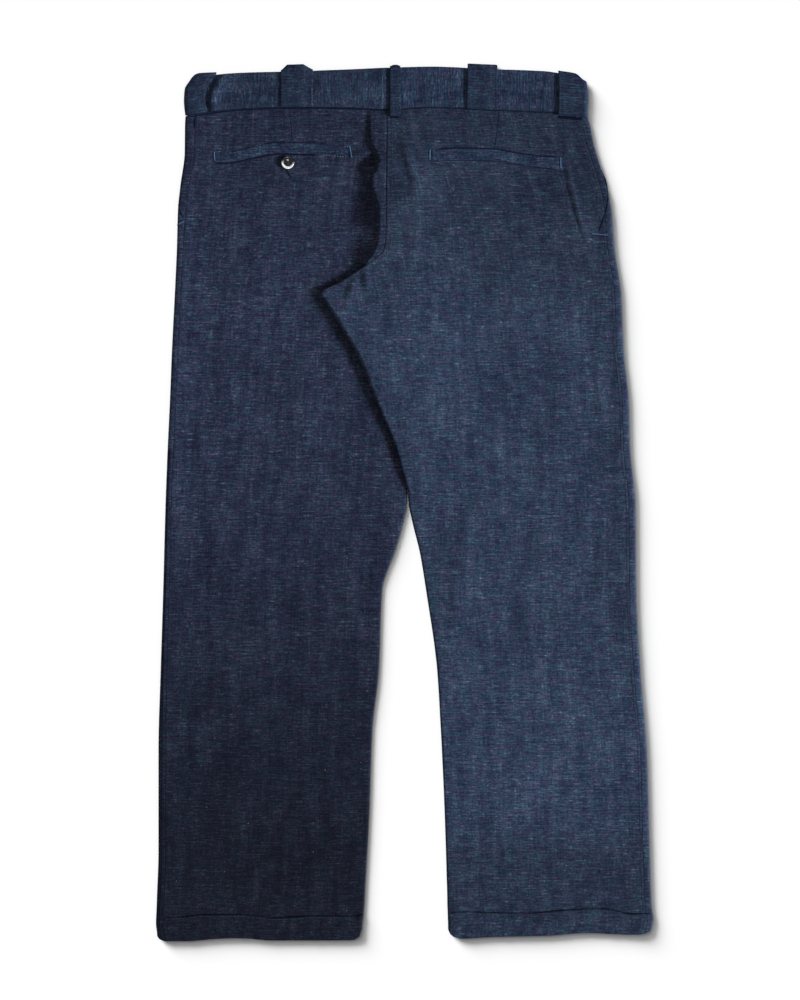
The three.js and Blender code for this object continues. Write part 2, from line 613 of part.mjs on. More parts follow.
// Height of a panel's outside under a point, the highest within a short distance
function surfaceUnder(mesh, x, y, around = 0) {
  const ray = new THREE.Raycaster();
  const heights = [[0, 0], [around, 0], [-around, 0], [0, around], [0, -around]].map(([dx, dy]) => {
    ray.set(new THREE.Vector3(x + dx, y + dy, 100), new THREE.Vector3(0, 0, -1));
    const [hit] = ray.intersectObject(mesh);
    return hit ? hit.point.z : 0;
  });
  return Math.max(...heights);
}

// Welt of a back pocket, a strip seated on the panel that it is sewn to
function welt(name, table, under, color) {
  const low = curve(table, "x", "low");
  const high = curve(table, "x", "high");
  const places = steps(WELT_STEPS).map((t) => mix(table[0].x, table[table.length - 1].x, t));
  const rows = places.map((x) => [0, 0.5, 1].map((t) => {
    const y = mix(low(x), high(x), t);
    return [x, y, surfaceUnder(under, x, y, WELT_REACH) + SEAM];
  }));
  const top = rows.map((row) => row.map(([x, y, z]) => [x, y, z + WELT_WALL]));
  return wall(name, top, rows, color);
}

// Four-hole button with a raised rim, lying on the panel under it
async function button(under) {
  const wasm = await Module();
  wasm.setup();
  const { x, y, radius, thick, rim, hole, spread } = BUTTON;
  const profile = [
    [0, 0], [radius - BUTTON_EDGE, 0], [radius, BUTTON_EDGE], [radius, thick - BUTTON_EDGE],
    [radius - BUTTON_EDGE / 2, thick], [radius - rim - BUTTON_EDGE / 2, thick],
    [radius - 2 * rim - BUTTON_EDGE, thick - rim], [0, thick - rim],
  ];
  const disc = new THREE.LatheGeometry(profile.map((p) => new THREE.Vector2(...p)), BUTTON_SIDES);
  disc.rotateX(Math.PI / 2);
  const toManifold = (source) => {
    const bare = new THREE.BufferGeometry();
    bare.setAttribute("position", source.getAttribute("position"));
    bare.setIndex(source.getIndex());
    const merged = mergeVertices(bare, 1e-4);
    const kept = dropFlat(merged);
    return new wasm.Manifold(new wasm.Mesh({
      numProp: 3, vertProperties: merged.getAttribute("position").array, triVerts: kept }));
  };
  const drill = new THREE.CylinderGeometry(hole, hole, 3 * thick, HOLE_SIDES);
  drill.rotateX(Math.PI / 2);
  const corners = [[-1, -1], [1, -1], [1, 1], [-1, 1]];
  const drilled = corners.reduce((solidSoFar, [sx, sy]) => (
    solidSoFar.subtract(toManifold(drill.clone().translate(sx * spread, sy * spread, 0)))
  ), toManifold(disc));
  const cut = drilled.getMesh();
  const mesh = solid("button", [...cut.vertProperties], [...cut.triVerts], HORN, 0.3);
  mesh.position.set(x, y, surfaceUnder(under, x, y, radius) + SEAM);
  return mesh;
}

// Triangles of a geometry without those that have shrunk to a line
function dropFlat(geometry) {
  const index = geometry.getIndex().array;
  const kept = [];
  for (let i = 0; i < index.length; i += 3) {
    const [a, b, c] = [index[i], index[i + 1], index[i + 2]];
    if (a !== b && b !== c && c !== a) kept.push(a, b, c);
  }
  return new Uint32Array(kept);
}

const backOfLeft = panel("back_left", "left", LEFT_ROWS, backLeft, INDIGO_LEFT);
const backOfRight = panel("back_right", "right", RIGHT_ROWS, backRight, INDIGO_RIGHT);

const pants = new THREE.Group();
pants.add(panel("front_left", "left", LEFT_ROWS, frontLeft, INDIGO_FRONT));
pants.add(panel("front_right", "right", RIGHT_ROWS, frontRight, INDIGO_FRONT));
pants.add(backOfLeft, backOfRight, waistband());
pants.add(...LOOPS.map(beltLoop));
pants.add(welt("welt_left", WELT_LEFT, backOfLeft, INDIGO_LEFT));
pants.add(welt("welt_right", WELT_RIGHT, backOfRight, INDIGO_RIGHT));
pants.add(await button(backOfLeft));

export default pants;
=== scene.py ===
# Baker trousers laid flat with the back up: their cloth, sewing and button, and the stage.
# Lengths in the tables are in millimetres, and meshes are made from them in metres.
# X runs across, Y from the hems up to the waist, Z up from the floor.

import math

import bpy
import numpy as np
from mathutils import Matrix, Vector
from mathutils.bvhtree import BVHTree


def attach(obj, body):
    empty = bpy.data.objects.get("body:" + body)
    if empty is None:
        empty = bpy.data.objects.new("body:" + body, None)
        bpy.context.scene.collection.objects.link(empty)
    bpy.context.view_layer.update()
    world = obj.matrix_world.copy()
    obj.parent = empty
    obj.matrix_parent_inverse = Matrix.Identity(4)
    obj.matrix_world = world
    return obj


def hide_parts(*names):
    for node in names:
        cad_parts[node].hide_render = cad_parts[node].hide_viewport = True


bl_info = {
    "name": "Baker trousers",
    "version": (1, 0, 0),
    "blender": (4, 5, 0),
    "location": "3D View > Sidebar > Trousers",
    "description": "Makes the cloth, sewing and button of a pair of trousers laid flat",
    "category": "Add Mesh",
}

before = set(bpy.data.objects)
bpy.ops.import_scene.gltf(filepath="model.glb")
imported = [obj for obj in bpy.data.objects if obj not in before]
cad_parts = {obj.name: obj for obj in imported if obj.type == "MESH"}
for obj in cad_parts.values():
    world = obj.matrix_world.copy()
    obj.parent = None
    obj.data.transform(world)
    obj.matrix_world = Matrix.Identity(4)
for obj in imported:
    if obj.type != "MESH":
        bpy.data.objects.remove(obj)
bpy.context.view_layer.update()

MM = 0.001
BODY = "root"

# Cloth: its thickness, the gap at a seam, and the turned-up hem: what it adds inside, half the
# way over which it begins, the height of its ripples and the depth of the groove over it
WALL = 1.2
SEAM = 0.3
HALF = WALL / 2
HEM_TURN = 0.9
HEM_STEP = 0.8
ROPING = 0.26
HEM_GROOVE = 1.1

# Levels up the garment, before the ends bend to the waist seam and the hem line
HEM_TOP = -452
HEM_END = -483
WAIST_ROW = 436
BEND_TOP = 395
BEND_HEM = -435
FLAP_LOW = 61.5
FLAP_MIDDLE = 150
FLAP_FRONT = 258
TIP_ROWS = (288, 216)

# Heights of the middle of each layer
FLOOR_Z = HALF
LOW_Z = 2.5
RETURN_Z = LOW_Z + 1.8
UPPER_RETURN_Z = RETURN_Z + WALL + SEAM + 0.3
HEM_LIFT = 1.7

# Soft folds at the sides: their radius, and how far across their swell reaches
SIDE_R = 2.4
SIDE_SPREAD = 24
SIDE_HEM_SPREAD = 7

# Swells beside the inner edges and the seat's ridge, and the small step along the seat's seam
EDGE_SPREAD = 34
RIDGE_SPREAD = 75
CREST_SPREAD = 22
CREST_REACH = range(-24, 25, 8)
CREST_LEFT = 3.4
SEAM_STEP = 0.4
SEAM_STEP_SPREAD = 10

# Left side of the ridge: its steep flank, and how far off the cloth begins to rise to it
RIDGE_FLANK = 7
RIDGE_TAIL = 13

# Under the flap: how far the layers stay back from its edge, how far off the right front and
# back begin to climb over the left leg, and the swell of the left back
TUCK = 0.2
TAIL_INSET = 1.5
SHORT_TAIL = 0.4
RIDE_RAMP = 24
RIDE_SLOPE = 110
FLAP_SWELL = 1.2
FLAP_FOOT = 46
FLAP_RAMP = 36
FLAP_LIP = 8

# How far beside an inner edge the folds are pressed flat, and what the flap keeps of them
PRESSED = 34
FOLDS_IN_LAP = 0.35

# Wrinkles: their mean level, and the heights of the broad lumps, the crests and the fine lumps
WRINKLE_LEVEL = 0.7
WRINKLE_BROAD = 0.2
WRINKLE_CREST = 0.34
WRINKLE_FINE = 0.07

# Roping of the hem: its slant, how far it wanders, and the lengths of its two ripples
ROPING_SLANT = 0.55
ROPING_WANDER = 5
ROPING_LONG = 17
ROPING_SHORT = 9.3

# Gathers along the outseams and under the waist seam: how high, and how far they reach
PUCKER = 0.22
PUCKER_SPREAD = 6
WAIST_PUCKER = 0.2
WAIST_PUCKER_SPREAD = 11

# Waistband, belt loops and welts: half walls, heights, bends, and how far their ends reach
BAND_HALF = 0.9
BAND_DEEP = 41
BAND_ENDS = 12
BAND_TOP_Z = 3.8
BAND_R = (BAND_TOP_Z - BAND_HALF) / 2
BEND_LEFT = -239 + BAND_HALF + BAND_R
BEND_RIGHT = 198.4 - BAND_HALF - BAND_R
CENTRE_FRONT = -19
LOOP_WALL = 1.5
LOOP_STAND = 1.9
LOOP_CURL = 0.16
LOOP_COLUMN = 1.2
WELT_WALL = 0.6
WELT_ENDS = 9
WELT_SMOOTHING = 9


def table(columns, *rows):
    """Rows of numbers under named columns"""
    names = columns.split()
    return [dict(zip(names, row)) for row in rows]


# Outer edges of the two halves, and how far the fronts wrap round to the outseams
SIDES = table(
    "y left right wrap_left wrap_right",
    (436, -240.6, 198.4, 11, 8),
    (408, -241.5, 204, 11, 8),
    (385, -241.8, 210.6, 10.5, 7.5),
    (350, -246.4, 221.4, 9.5, 7),
    (322, -249.2, 227.2, 8.5, 7.5),
    (280, -250.4, 230.6, 7, 7.5),
    (231, -252.6, 237.6, 6.4, 7),
    (168, -255.8, 240.4, 6.4, 7),
    (113, -258, 246, 6.4, 7),
    (62, -260.4, 247.4, 6.4, 7),
    (0, -262.8, 253.2, 6.4, 7),
    (-96, -265.4, 254.2, 6.6, 7),
    (-184, -268.2, 258.8, 7, 7),
    (-272, -270.6, 265.8, 8, 7),
    (-382, -270.6, 269, 8, 7),
    (-440, -272.6, 271, 8, 7),
    (-462, -273.4, 273.4, 8, 7),
    (-483, -272, 271.4, 8, 7),
)

# Inner edges, from the waist to the hem.
# fold: the left leg's inner fold; edge: the right half's inner edge, above the flap the
# centre-back seam; crest: its height; lap: 0 where the backs meet, 1 where the right one laps;
# ride: how high the right front rides; turn: how far the left front turns up, in degrees;
# down: 1 where the left back turns down to the front.
INNER = table(
    "y fold edge crest lap ride turn down",
    (436, -19, -19, 3.2, 0, 0, 0, 0),
    (424, -19, -19, 4.6, 0, 0, 0, 0),
    (412, -19, -19, 7.2, 0, 0, 0, 0),
    (400, -19, -19, 8.2, 0, 0, 0, 0),
    (386, -19.1, -19.2, 10.6, 0, 0, 0, 0),
    (375, -19.2, -19.4, 15.2, 0, 0, 0, 0),
    (367, -19.3, -19.5, 16.4, 0, 0, 0, 0),
    (353, -19.4, -19.6, 10.7, 0, 1.5, 0, 0),
    (334, -19.6, -19.8, 14.8, 0, 5, 0, 0),
    (312, -20, -20, 17, 0, 7, 0, 0),
    (292, -20, -20.2, 12.4, 0, 7.3, 0, 0),
    (276, -19, -23, 15, 0, 7.3, 0, 0),
    (269, -18, -31, 14, 0, 7.3, 0, 0),
    (262.5, -17, -40.4, 12.4, 0, 7.3, 90, 0),
    (258.5, -16, -46, 11.2, 1, 7.3, 180, 0),
    (243.5, -13, -69.4, 11, 1, 7.4, 180, 0),
    (229.8, -11, -92.6, 11.8, 1, 7.8, 180, 0),
    (221, -10, -87.2, 12.6, 1, 7.8, 180, 0),
    (202, -8, -75.4, 13, 1, 7.4, 180, 0),
    (158, -4, -49.6, 12.6, 1, 7.3, 180, 0),
    (110, -1, -30.4, 11.4, 1, 7.3, 180, 0),
    (62, 1.4, -9.4, 10, 1, 7.3, 180, 0),
    (44, 2, -4.4, 9.2, 1, 6.4, 0, 0),
    (25, 2.6, 0.6, 7.6, 1, 4.4, 0, 1),
    (11, 2.8, 3.6, 5.4, 1, 1.6, 0, 1),
    (0, 2.4, 4.4, 4.3, 1, 0.5, 0, 1),
    (-28, -3.4, 10.2, 3.4, 1, 0, 0, 1),
    (-52, -10.5, 16.2, 3.4, 1, 0, 0, 1),
    (-96, -25, 23.6, 3.4, 1, 0, 0, 1),
    (-184, -28.6, 35.8, 3.4, 1, 0, 0, 1),
    (-250, -35.8, 39.8, 3.4, 1, 0, 0, 1),
    (-340, -39, 44, 3.4, 1, 0, 0, 1),
    (-440, -44.4, 47, 3.4, 1, 0, 0, 1),
    (-483, -46.8, 47.8, 3.4, 1, 0, 0, 1),
)

# How far the seat's ridge stands out to the left of the centre-back seam, and how high the
# cloth beside it rises towards it
RIDGE = table(
    "y shelf tail",
    (436, 12, 0), (424, 17, 0.3), (412, 17, 0.9), (402, 17, 0.9), (392, 13.5, 0.6),
    (388, 10.1, 0.4), (383, 8.8, 0.3), (376, 6.9, 0.3), (368, 8.6, 0.3), (354, 14.4, 1.4),
    (348, 14, 1.4), (338, 10.4, 0.6), (318, 6.2, 5), (298, 6, 5), (288, 7, 4.2), (276, 8.5, 2),
    (269, 5, 0.6), (262.5, 1.5, 0), (258.5, 1.5, 0),
)

# Waist seam and top edge of the waistband, across
WAIST = table(
    "x seam top",
    (-241, 424.5, 450),
    (-239.4, 424.8, 454.5),
    (-236.5, 425.4, 461),
    (-232, 426.2, 467),
    (-226, 427.4, 470),
    (-206, 430.6, 471),
    (-180, 433.4, 473),
    (-120, 435.4, 474.6),
    (-60, 434.8, 476.8),
    (-19, 432.6, 478.6),
    (30, 435.4, 479.8),
    (90, 433, 477.2),
    (150, 430.6, 475),
    (170, 429.6, 472.6),
    (188, 428.4, 469.6),
    (200, 427.6, 461),
)

# Hem line of each leg, across
HEM_LEFT = table(
    "x y",
    (-274, -475), (-269, -479.6), (-262, -481.8), (-243, -481.8), (-207, -479.2),
    (-188, -478.5), (-172, -478.8), (-148, -480.8), (-107, -480.8), (-58, -480.6),
    (-50, -477), (-46, -467),
)
HEM_RIGHT = table(
    "x y",
    (46, -466), (50, -473.4), (54, -476.8), (63, -478.9), (90, -477.4), (138, -476.2),
    (156, -475.8), (193, -473), (204, -472.8), (230, -473.8), (248, -474.4), (258, -474.2),
    (266, -472.6), (270.5, -469.6), (273.6, -464),
)

# How far the edge of the turned-up hem wanders, across
HEM_WAVE_LEFT = table(
    "x rise",
    (-262, -3.6), (-240, -2.6), (-222, -1), (-185, -0.8), (-160, -2.6), (-143, -4.2),
    (-125, -3.4), (-98, -2.2), (-45, -2.4),
)
HEM_WAVE_RIGHT = table(
    "x rise",
    (48, 0.4), (64, 2), (97, 1.2), (138, 0.4), (174, 3.2), (202, 4.6), (220, 4.6),
    (239, 0.4), (248, -0.9), (270, -1),
)

# Belt loops, named as their solids
LOOPS = table(
    "name left right lean_left lean_right bow below proud hook corner cut_left cut_right"
    " curl_left curl_right lift",
    ("loop_side_left", -240.4, -211.4, 0, 9.5, -7.4, -1, 2.4, 1.5, 0, 1, 1, 0, 0.5, 0),
    ("loop_back_left", -136, -100.8, 0, 0, 0, 0, 7.4, 3, 6.6, 7, 10.5, -1.0, 0.4, 0),
    ("loop_centre", -16, -4.6, 0, 0, 0, 8, 2.6, 3, 2.4, 3, 3.4, 0, 0, 2.2),
    ("loop_back_right", 68.8, 102.6, 1, -1, 0, 0.5, 4.8, 3, 0.5, 1.5, 1.5, 0.9, 0, 0),
    ("loop_side_right", 169, 199, 0, 0, 0, 3.4, 2.4, 1.5, 0, 1, 1, 1.0, 0, 1),
)

# Back pockets: the welt's lower and upper edge
WELT_LEFT = table(
    "x low high",
    (-208, 374.6, 385.2), (-188, 375.4, 386.4), (-163, 381, 392),
    (-142, 384.6, 395.4), (-100, 384, 395), (-62, 380.8, 392.6),
)
WELT_RIGHT = table(
    "x low high",
    (30.6, 375.6, 387.4), (52, 376.6, 389.2), (98, 377.2, 388.4),
    (122, 373.2, 384.4), (148, 369.4, 381), (170, 367.4, 379.6),
)

# Folds and creases of the upper cloth: ridges, and troughs where height is below 0.
# bend: how far the crease bows to its side at its ends
CREASES = table(
    "x y angle length width height bend",
    (-150, 300, 62, 90, 26, 1.6, 6),
    (-52, 318, 84, 90, 17, -0.9, 0),
    (-92, 372, 40, 46, 20, 1.4, 0),
    (-196, 130, 78, 150, 30, 1.0, 8),
    (-110, 70, 96, 120, 24, 1.2, -6),
    (-190, -150, 88, 190, 36, 1.1, 8),
    (-100, -300, 94, 150, 30, 1.0, -8),
    (188, 316, 108, 62, 14, 1.6, 4),
    (90, 300, 100, 110, 34, 1.4, 6),
    (170, 110, 84, 170, 30, 1.0, 8),
    (80, -20, 74, 140, 26, 1.3, -6),
    (190, -190, 92, 170, 32, 1.0, 6),
    (120, -330, 88, 130, 34, 1.2, -6),
    (190, 321, 106, 52, 3.4, 1.6, 3),
    (185.2, 321, 106, 48, 2.4, -0.4, 3),
    (178, 340, 104, 30, 7, -0.5, 2),
    (203, 262, 100, 26, 5, 0.9, 2),
    (-40, 384, 14, 30, 5, 7.4, 0),
    (-62, 300, 12, 30, 9, 1.6, 3),
    (-60, 262, 20, 26, 7, 1.2, 2),
    (5.6, 371, 109, 24, 4.4, 4.2, 1),
    (-42.6, 249, 94, 19, 3, 4.4, 3),
    (-57, 237, 72, 17, 3.6, 3.8, 1),
    (-222, 330, 84, 40, 6, 0.5, 2),
    (-176, 352, 18, 40, 6, 0.4, 3),
    (-84, 338, 150, 46, 9, 0.6, 5),
    (-150, 232, 12, 60, 7, 0.4, 5),
    (-64, 168, 66, 54, 9, 0.8, -4),
    (-40, 120, 72, 70, 7, -0.5, 5),
    (-226, 60, 92, 70, 7, 0.6, 3),
    (-170, -40, 20, 60, 9, 0.4, 6),
    (-60, -110, 100, 60, 8, 0.7, 5),
    (-228, -250, 86, 90, 9, 0.6, -4),
    (-130, -210, 12, 54, 8, 0.4, 4),
    (-180, -380, 24, 44, 7, 0.5, 3),
    (-84, -400, 120, 40, 8, 0.5, 3),
    (60, 214, 34, 60, 11, 0.8, -8),
    (30, 150, 62, 60, 10, 0.7, 6),
    (120, 196, 166, 60, 10, 0.5, -5),
    (214, 120, 96, 50, 5, 0.8, 2),
    (150, 20, 14, 60, 9, 0.4, -5),
    (60, -90, 84, 80, 9, 0.6, 4),
    (216, -60, 88, 90, 8, 0.6, -4),
    (110, -150, 168, 60, 9, 0.4, 4),
    (180, -320, 40, 46, 7, 0.7, 4),
    (88, -260, 96, 70, 8, 0.5, -3),
    (230, -380, 80, 50, 7, 0.5, 2),
    (110, -410, 14, 50, 7, 0.4, 3),
)

# Creases of the waistband, in the same columns
BAND_CREASES = table(
    "x y angle length width height bend",
    (-211.5, 443, 84, 34, 4, 3.6, 14),
    (-92, 456, 86, 16, 6, 1.7, 0),
    (-52, 452, 96, 24, 7, 0.5, 0),
    (-26, 454, 90, 26, 4, 0.8, 0),
    (24, 456, 84, 24, 7, 0.6, 0),
    (56, 454, 92, 24, 6, 1.4, 0),
    (118, 452, 96, 22, 8, 0.5, 0),
    (156, 452, 88, 24, 6, 1.4, 0),
    (-160, 454, 90, 24, 12, 0.6, 0),
)


def curve(rows, along, column):
    """Smooth curve through a table's column, with no overshoot between its rows"""
    rows = sorted(rows, key=lambda row: row[along])
    at = np.array([row[along] for row in rows], float)
    value = np.array([row[column] for row in rows], float)
    rise = np.diff(value) / np.diff(at)
    product = rise[:-1] * rise[1:]
    total = np.where(product > 0, rise[:-1] + rise[1:], 1)
    slope = np.zeros(len(at))
    slope[1:-1] = np.where(product > 0, 2 * product / total, 0)

    def read(t):
        t = np.clip(t, at[0], at[-1])
        i = np.clip(np.searchsorted(at, t) - 1, 0, len(at) - 2)
        h = at[i + 1] - at[i]
        u = (t - at[i]) / h
        held = value[i] * (1 + 2 * u) * (1 - u) ** 2 + value[i + 1] * u * u * (3 - 2 * u)
        return held + h * (slope[i] * u * (1 - u) ** 2 - slope[i + 1] * u * u * (1 - u))

    return read


def curves(rows, along, columns):
    """Curves through several of a table's columns"""
    return [curve(rows, along, column) for column in columns.split()]


left_out, right_out, wrap_left, wrap_right = curves(SIDES, "y", "left right wrap_left wrap_right")
fold, edge, crest, lap, ride, front_turn, down = curves(INNER, "y", "fold edge crest lap ride turn down")
ridge_shelf, ridge_tail = curves(RIDGE, "y", "shelf tail")
waist_seam, waist_top = curves(WAIST, "x", "seam top")
hem_line = {"left": curve(HEM_LEFT, "x", "y"), "right": curve(HEM_RIGHT, "x", "y")}
hem_wave = {"left": curve(HEM_WAVE_LEFT, "x", "rise"), "right": curve(HEM_WAVE_RIGHT, "x", "rise")}


def outseam_left(y):
    """Place across of the left outseam, where the front that wraps round meets the back"""
    return left_out(y) + wrap_left(y)


def outseam_right(y):
    """Place across of the right outseam"""
    return right_out(y) - wrap_right(y)


def mix(a, b, t):
    """Value that goes from a to b as the share t goes from 0 to 1"""
    return a + (b - a) * t


def smooth(t):
    """Soft share that stays at 0 below 0 and at 1 above 1"""
    t = np.clip(t, 0, 1)
    return t * t * (3 - 2 * t)


def bell(t):
    """Bell curve of height 1 at 0"""
    return np.exp(-t * t)


def steps(count):
    """Shares from 0 to 1 in equal steps"""
    return np.linspace(0, 1, count + 1)


def points(x, z):
    """Section points from their places across and their heights"""
    x, z = np.broadcast_arrays(np.asarray(x, float), np.asarray(z, float))
    return np.stack([x, z], 1)


def soft_noise(x, y, wide, high, seed):
    """Smooth noise between -1 and 1, its lumps wide by high in size"""
    size = 61
    lattice = np.random.default_rng(seed).uniform(-1, 1, (size, size))
    u = np.asarray(x) / wide + 40
    v = np.asarray(y) / high + 40
    i = np.floor(u).astype(int)
    j = np.floor(v).astype(int)
    s = smooth(u - i)
    t = smooth(v - j)
    corner = [[lattice[(i + a) % size, (j + b) % size] for b in (0, 1)] for a in (0, 1)]
    low = mix(corner[0][0], corner[1][0], s)
    high_side = mix(corner[0][1], corner[1][1], s)
    return mix(low, high_side, t)


def creases(rows, x, y, gentle=1.0):
    """Height that a table's creases add at points, wider by a factor on their gentle side"""
    total = np.zeros(np.broadcast(x, y).shape)
    for row in rows:
        angle = math.radians(row["angle"])
        along = (x - row["x"]) * math.cos(angle) + (y - row["y"]) * math.sin(angle)
        across = (y - row["y"]) * math.cos(angle) - (x - row["x"]) * math.sin(angle)
        across = across + row["bend"] * (along / row["length"]) ** 2
        wide = row["width"] * np.where(across < 0, gentle, 1)
        total += row["height"] * bell(across / wide) * bell(along / row["length"])
    return total


def wrinkles(x, y):
    """Low uneven wrinkles of worn-in cloth, with narrow crests between broad lows"""
    warp = 9 * soft_noise(x, y, 60, 80, 3)
    broad = soft_noise(x + warp, y, 46, 70, 5)
    ridged = 1 - np.abs(soft_noise(x + warp, y - warp, 30, 52, 8))
    fine = soft_noise(x, y, 11, 14, 12)
    return WRINKLE_LEVEL + WRINKLE_BROAD * broad + WRINKLE_CREST * ridged**4 + WRINKLE_FINE * fine


def hem_share(row):
    """Share of the hem's extra thickness at a level"""
    return smooth((HEM_TOP + HEM_STEP - row) / (2 * HEM_STEP))


def hem_roping(row, x):
    """Slanted ripples of the hem's turned cloth, where it was sewn down"""
    band = smooth((HEM_TOP + 6 - row) / 8)
    drag = x - ROPING_SLANT * (row - HEM_TOP) + ROPING_WANDER * soft_noise(x, row, 40, 30, 21)
    turn = drag * 2 * math.pi
    ripple = np.sin(turn / ROPING_LONG) + 0.5 * np.sin(turn / ROPING_SHORT + 1)
    groove = HEM_GROOVE * bell((row - (HEM_TOP + 0.9)) / 0.9)
    return ROPING * band * (1 + 0.6 * ripple) - groove


def waist_pucker(row, x):
    """Small gathers under the waist seam"""
    near = bell((WAIST_ROW - row) / WAIST_PUCKER_SPREAD)
    return WAIST_PUCKER * near * (1 + soft_noise(x, row, 5, 30, 31))


def relief(row, x):
    """Height of the folds and wrinkles of the upper cloth"""
    made = creases(CREASES, x, row) + wrinkles(x, row) + hem_roping(row, x)
    return np.maximum(0, made + waist_pucker(row, x))


def seam_puckers(row, x, seam_x, seed):
    """Gathers along a seam that runs up the garment"""
    return PUCKER * bell((x - seam_x) / PUCKER_SPREAD) * (1 + soft_noise(x, row, 30, 5.5, seed))


def arc(cx, cz, radius, start, end, count):
    """Points of an arc, its angles in degrees from straight down towards +x"""
    angle = np.radians(mix(start, end, steps(count)))
    return points(cx + radius * np.sin(angle), cz - radius * np.cos(angle))


# How finely the sections are cut: steps of each stretch, and distances of the closer points
# from a rim, along the seat's ridge and along the flap
ACROSS = 76
FLANK = 16
RUN = 4
ROUND = 12
UNDER = 46
RIM_STEPS = np.array([0.12, 0.35, 0.75, 1.5])
FINE_LEFT = -1.3 * np.arange(1, 24)
FINE_RIGHT = 17 + 1.3 * np.arange(20)


def with_rims(start, end, count, first=True, last=False, fine=()):
    """Places from start to end, close together at the ends that show and at the fine
    distances, which count from the start, or from the end where below 0"""
    reach = abs(end - start)
    places = list(steps(count) * reach) + [d if d > 0 else reach + d for d in fine]
    if first:
        places += list(RIM_STEPS)
    if last:
        places += list(reach - RIM_STEPS)
    return start + math.copysign(1, end - start) * np.array(sorted(places))


def left_top(row, x):
    """Height of the middle of the left half's upper cloth"""
    start = left_out(row) + HALF + SIDE_R
    beside = bell((x - start) / SIDE_SPREAD)
    inner = mix(edge(row), fold(row), down(row))
    loose = smooth((inner - x) / PRESSED)
    side = (FLOOR_Z + 2 * SIDE_R - LOW_Z) * beside
    swell = (CREST_LEFT - LOW_Z) * down(row) * bell((x - fold(row)) / EDGE_SPREAD)
    hem = HEM_LIFT * hem_share(row) * (1 - beside)
    puckers = seam_puckers(row, x, outseam_left(row), 41)
    flap = FLAP_SWELL * lap(row) * (1 - down(row))
    flap = flap * smooth((x - edge(row) + FLAP_FOOT) / FLAP_RAMP) * smooth((edge(row) - 1 - x) / FLAP_LIP)
    return LOW_Z + side + swell + hem + flap + loose * (1 - beside) * relief(row, x) + puckers


def right_floor(row, x):
    """Height of the middle of the right front, which rides over the left leg at the flap"""
    return FLOOR_Z + ride(row) * smooth((fold(row) + RIDE_RAMP - x) / RIDE_RAMP)


def right_top(row, x):
    """Height of the middle of the right half's upper cloth, in one long slope off the flap"""
    start = right_out(row) - HALF - SIDE_R
    beside = bell((start - x) / SIDE_SPREAD)
    under = FLOOR_Z + ride(row) * smooth((fold(row) + RIDE_SLOPE - x) / RIDE_SLOPE)
    base = LOW_Z - FLOOR_Z
    side = (2 * SIDE_R - base) * beside
    smoothed = np.mean([crest(row + step) for step in CREST_REACH])
    proud = smoothed - right_floor(row, edge(row)) - base
    rise = proud * bell((x - edge(row)) / mix(RIDGE_SPREAD, EDGE_SPREAD, lap(row)))
    rise = rise + (crest(row) - smoothed) * bell((x - edge(row)) / CREST_SPREAD)
    proud_seam = SEAM_STEP * (1 - lap(row)) * bell((x - edge(row)) / SEAM_STEP_SPREAD)
    hem = HEM_LIFT * hem_share(row) * (1 - bell((start - x) / SIDE_HEM_SPREAD))
    loose = smooth((x - edge(row)) / PRESSED)
    puckers = seam_puckers(row, x, outseam_right(row), 43)
    folds = (1 - beside) * mix(FOLDS_IN_LAP * lap(row), 1, loose) * relief(row, x)
    return under + base + side + rise + proud_seam + hem + folds + puckers


def turned_back(cx, z, radius, turn, tail):
    """A layer's turn at the fold, up and back over itself, with its tail"""
    count = FLANK + RUN
    if turn < 1:
        return points(cx + (radius + HALF) * steps(count), z)
    angle = math.radians(turn)
    bend = arc(cx, z + radius, radius, 0, turn, FLANK)
    out = tail * steps(RUN)[1:]
    run = points(bend[-1, 0] + out * math.cos(angle), bend[-1, 1] + out * math.sin(angle))
    return np.vstack([bend, run])


def fold_centre(row):
    """Place across of the middle of the left leg's inner fold"""
    return fold(row) - HALF - (UPPER_RETURN_Z - FLOOR_Z) / 2


def inside_of(row):
    """Distance from the middle of the cloth to its inside"""
    return HALF + hem_share(row) * HEM_TURN


def front_left(row):
    """Section of the left front, from its inner edge along the floor and round the side"""
    radius = (UPPER_RETURN_Z - FLOOR_Z) / 2
    cx = fold_centre(row)
    turned = FLAP_LOW < row < FLAP_FRONT
    tail = cx - edge(row) - TAIL_INSET if turned else SHORT_TAIL
    inner = turned_back(cx, FLOOR_Z, radius, front_turn(row), tail)
    side = left_out(row) + HALF + SIDE_R
    floor = points(mix(cx, side, steps(UNDER)[1:-1]), FLOOR_Z)
    side_round = arc(side, FLOOR_Z + SIDE_R, SIDE_R, 0, -180, ROUND)
    over = with_rims(side, outseam_left(row) - SEAM / 2, 4, first=False, last=True)[1:]
    return np.vstack([inner[::-1], floor, side_round, points(over, left_top(row, over))])


def turned_down(outer, top, bottom):
    """Quarter turn of an upper layer down to the front beneath it, towards +x"""
    radius = top - bottom
    return arc(outer - HALF - radius, bottom, radius, 180, 90, FLANK + RUN)


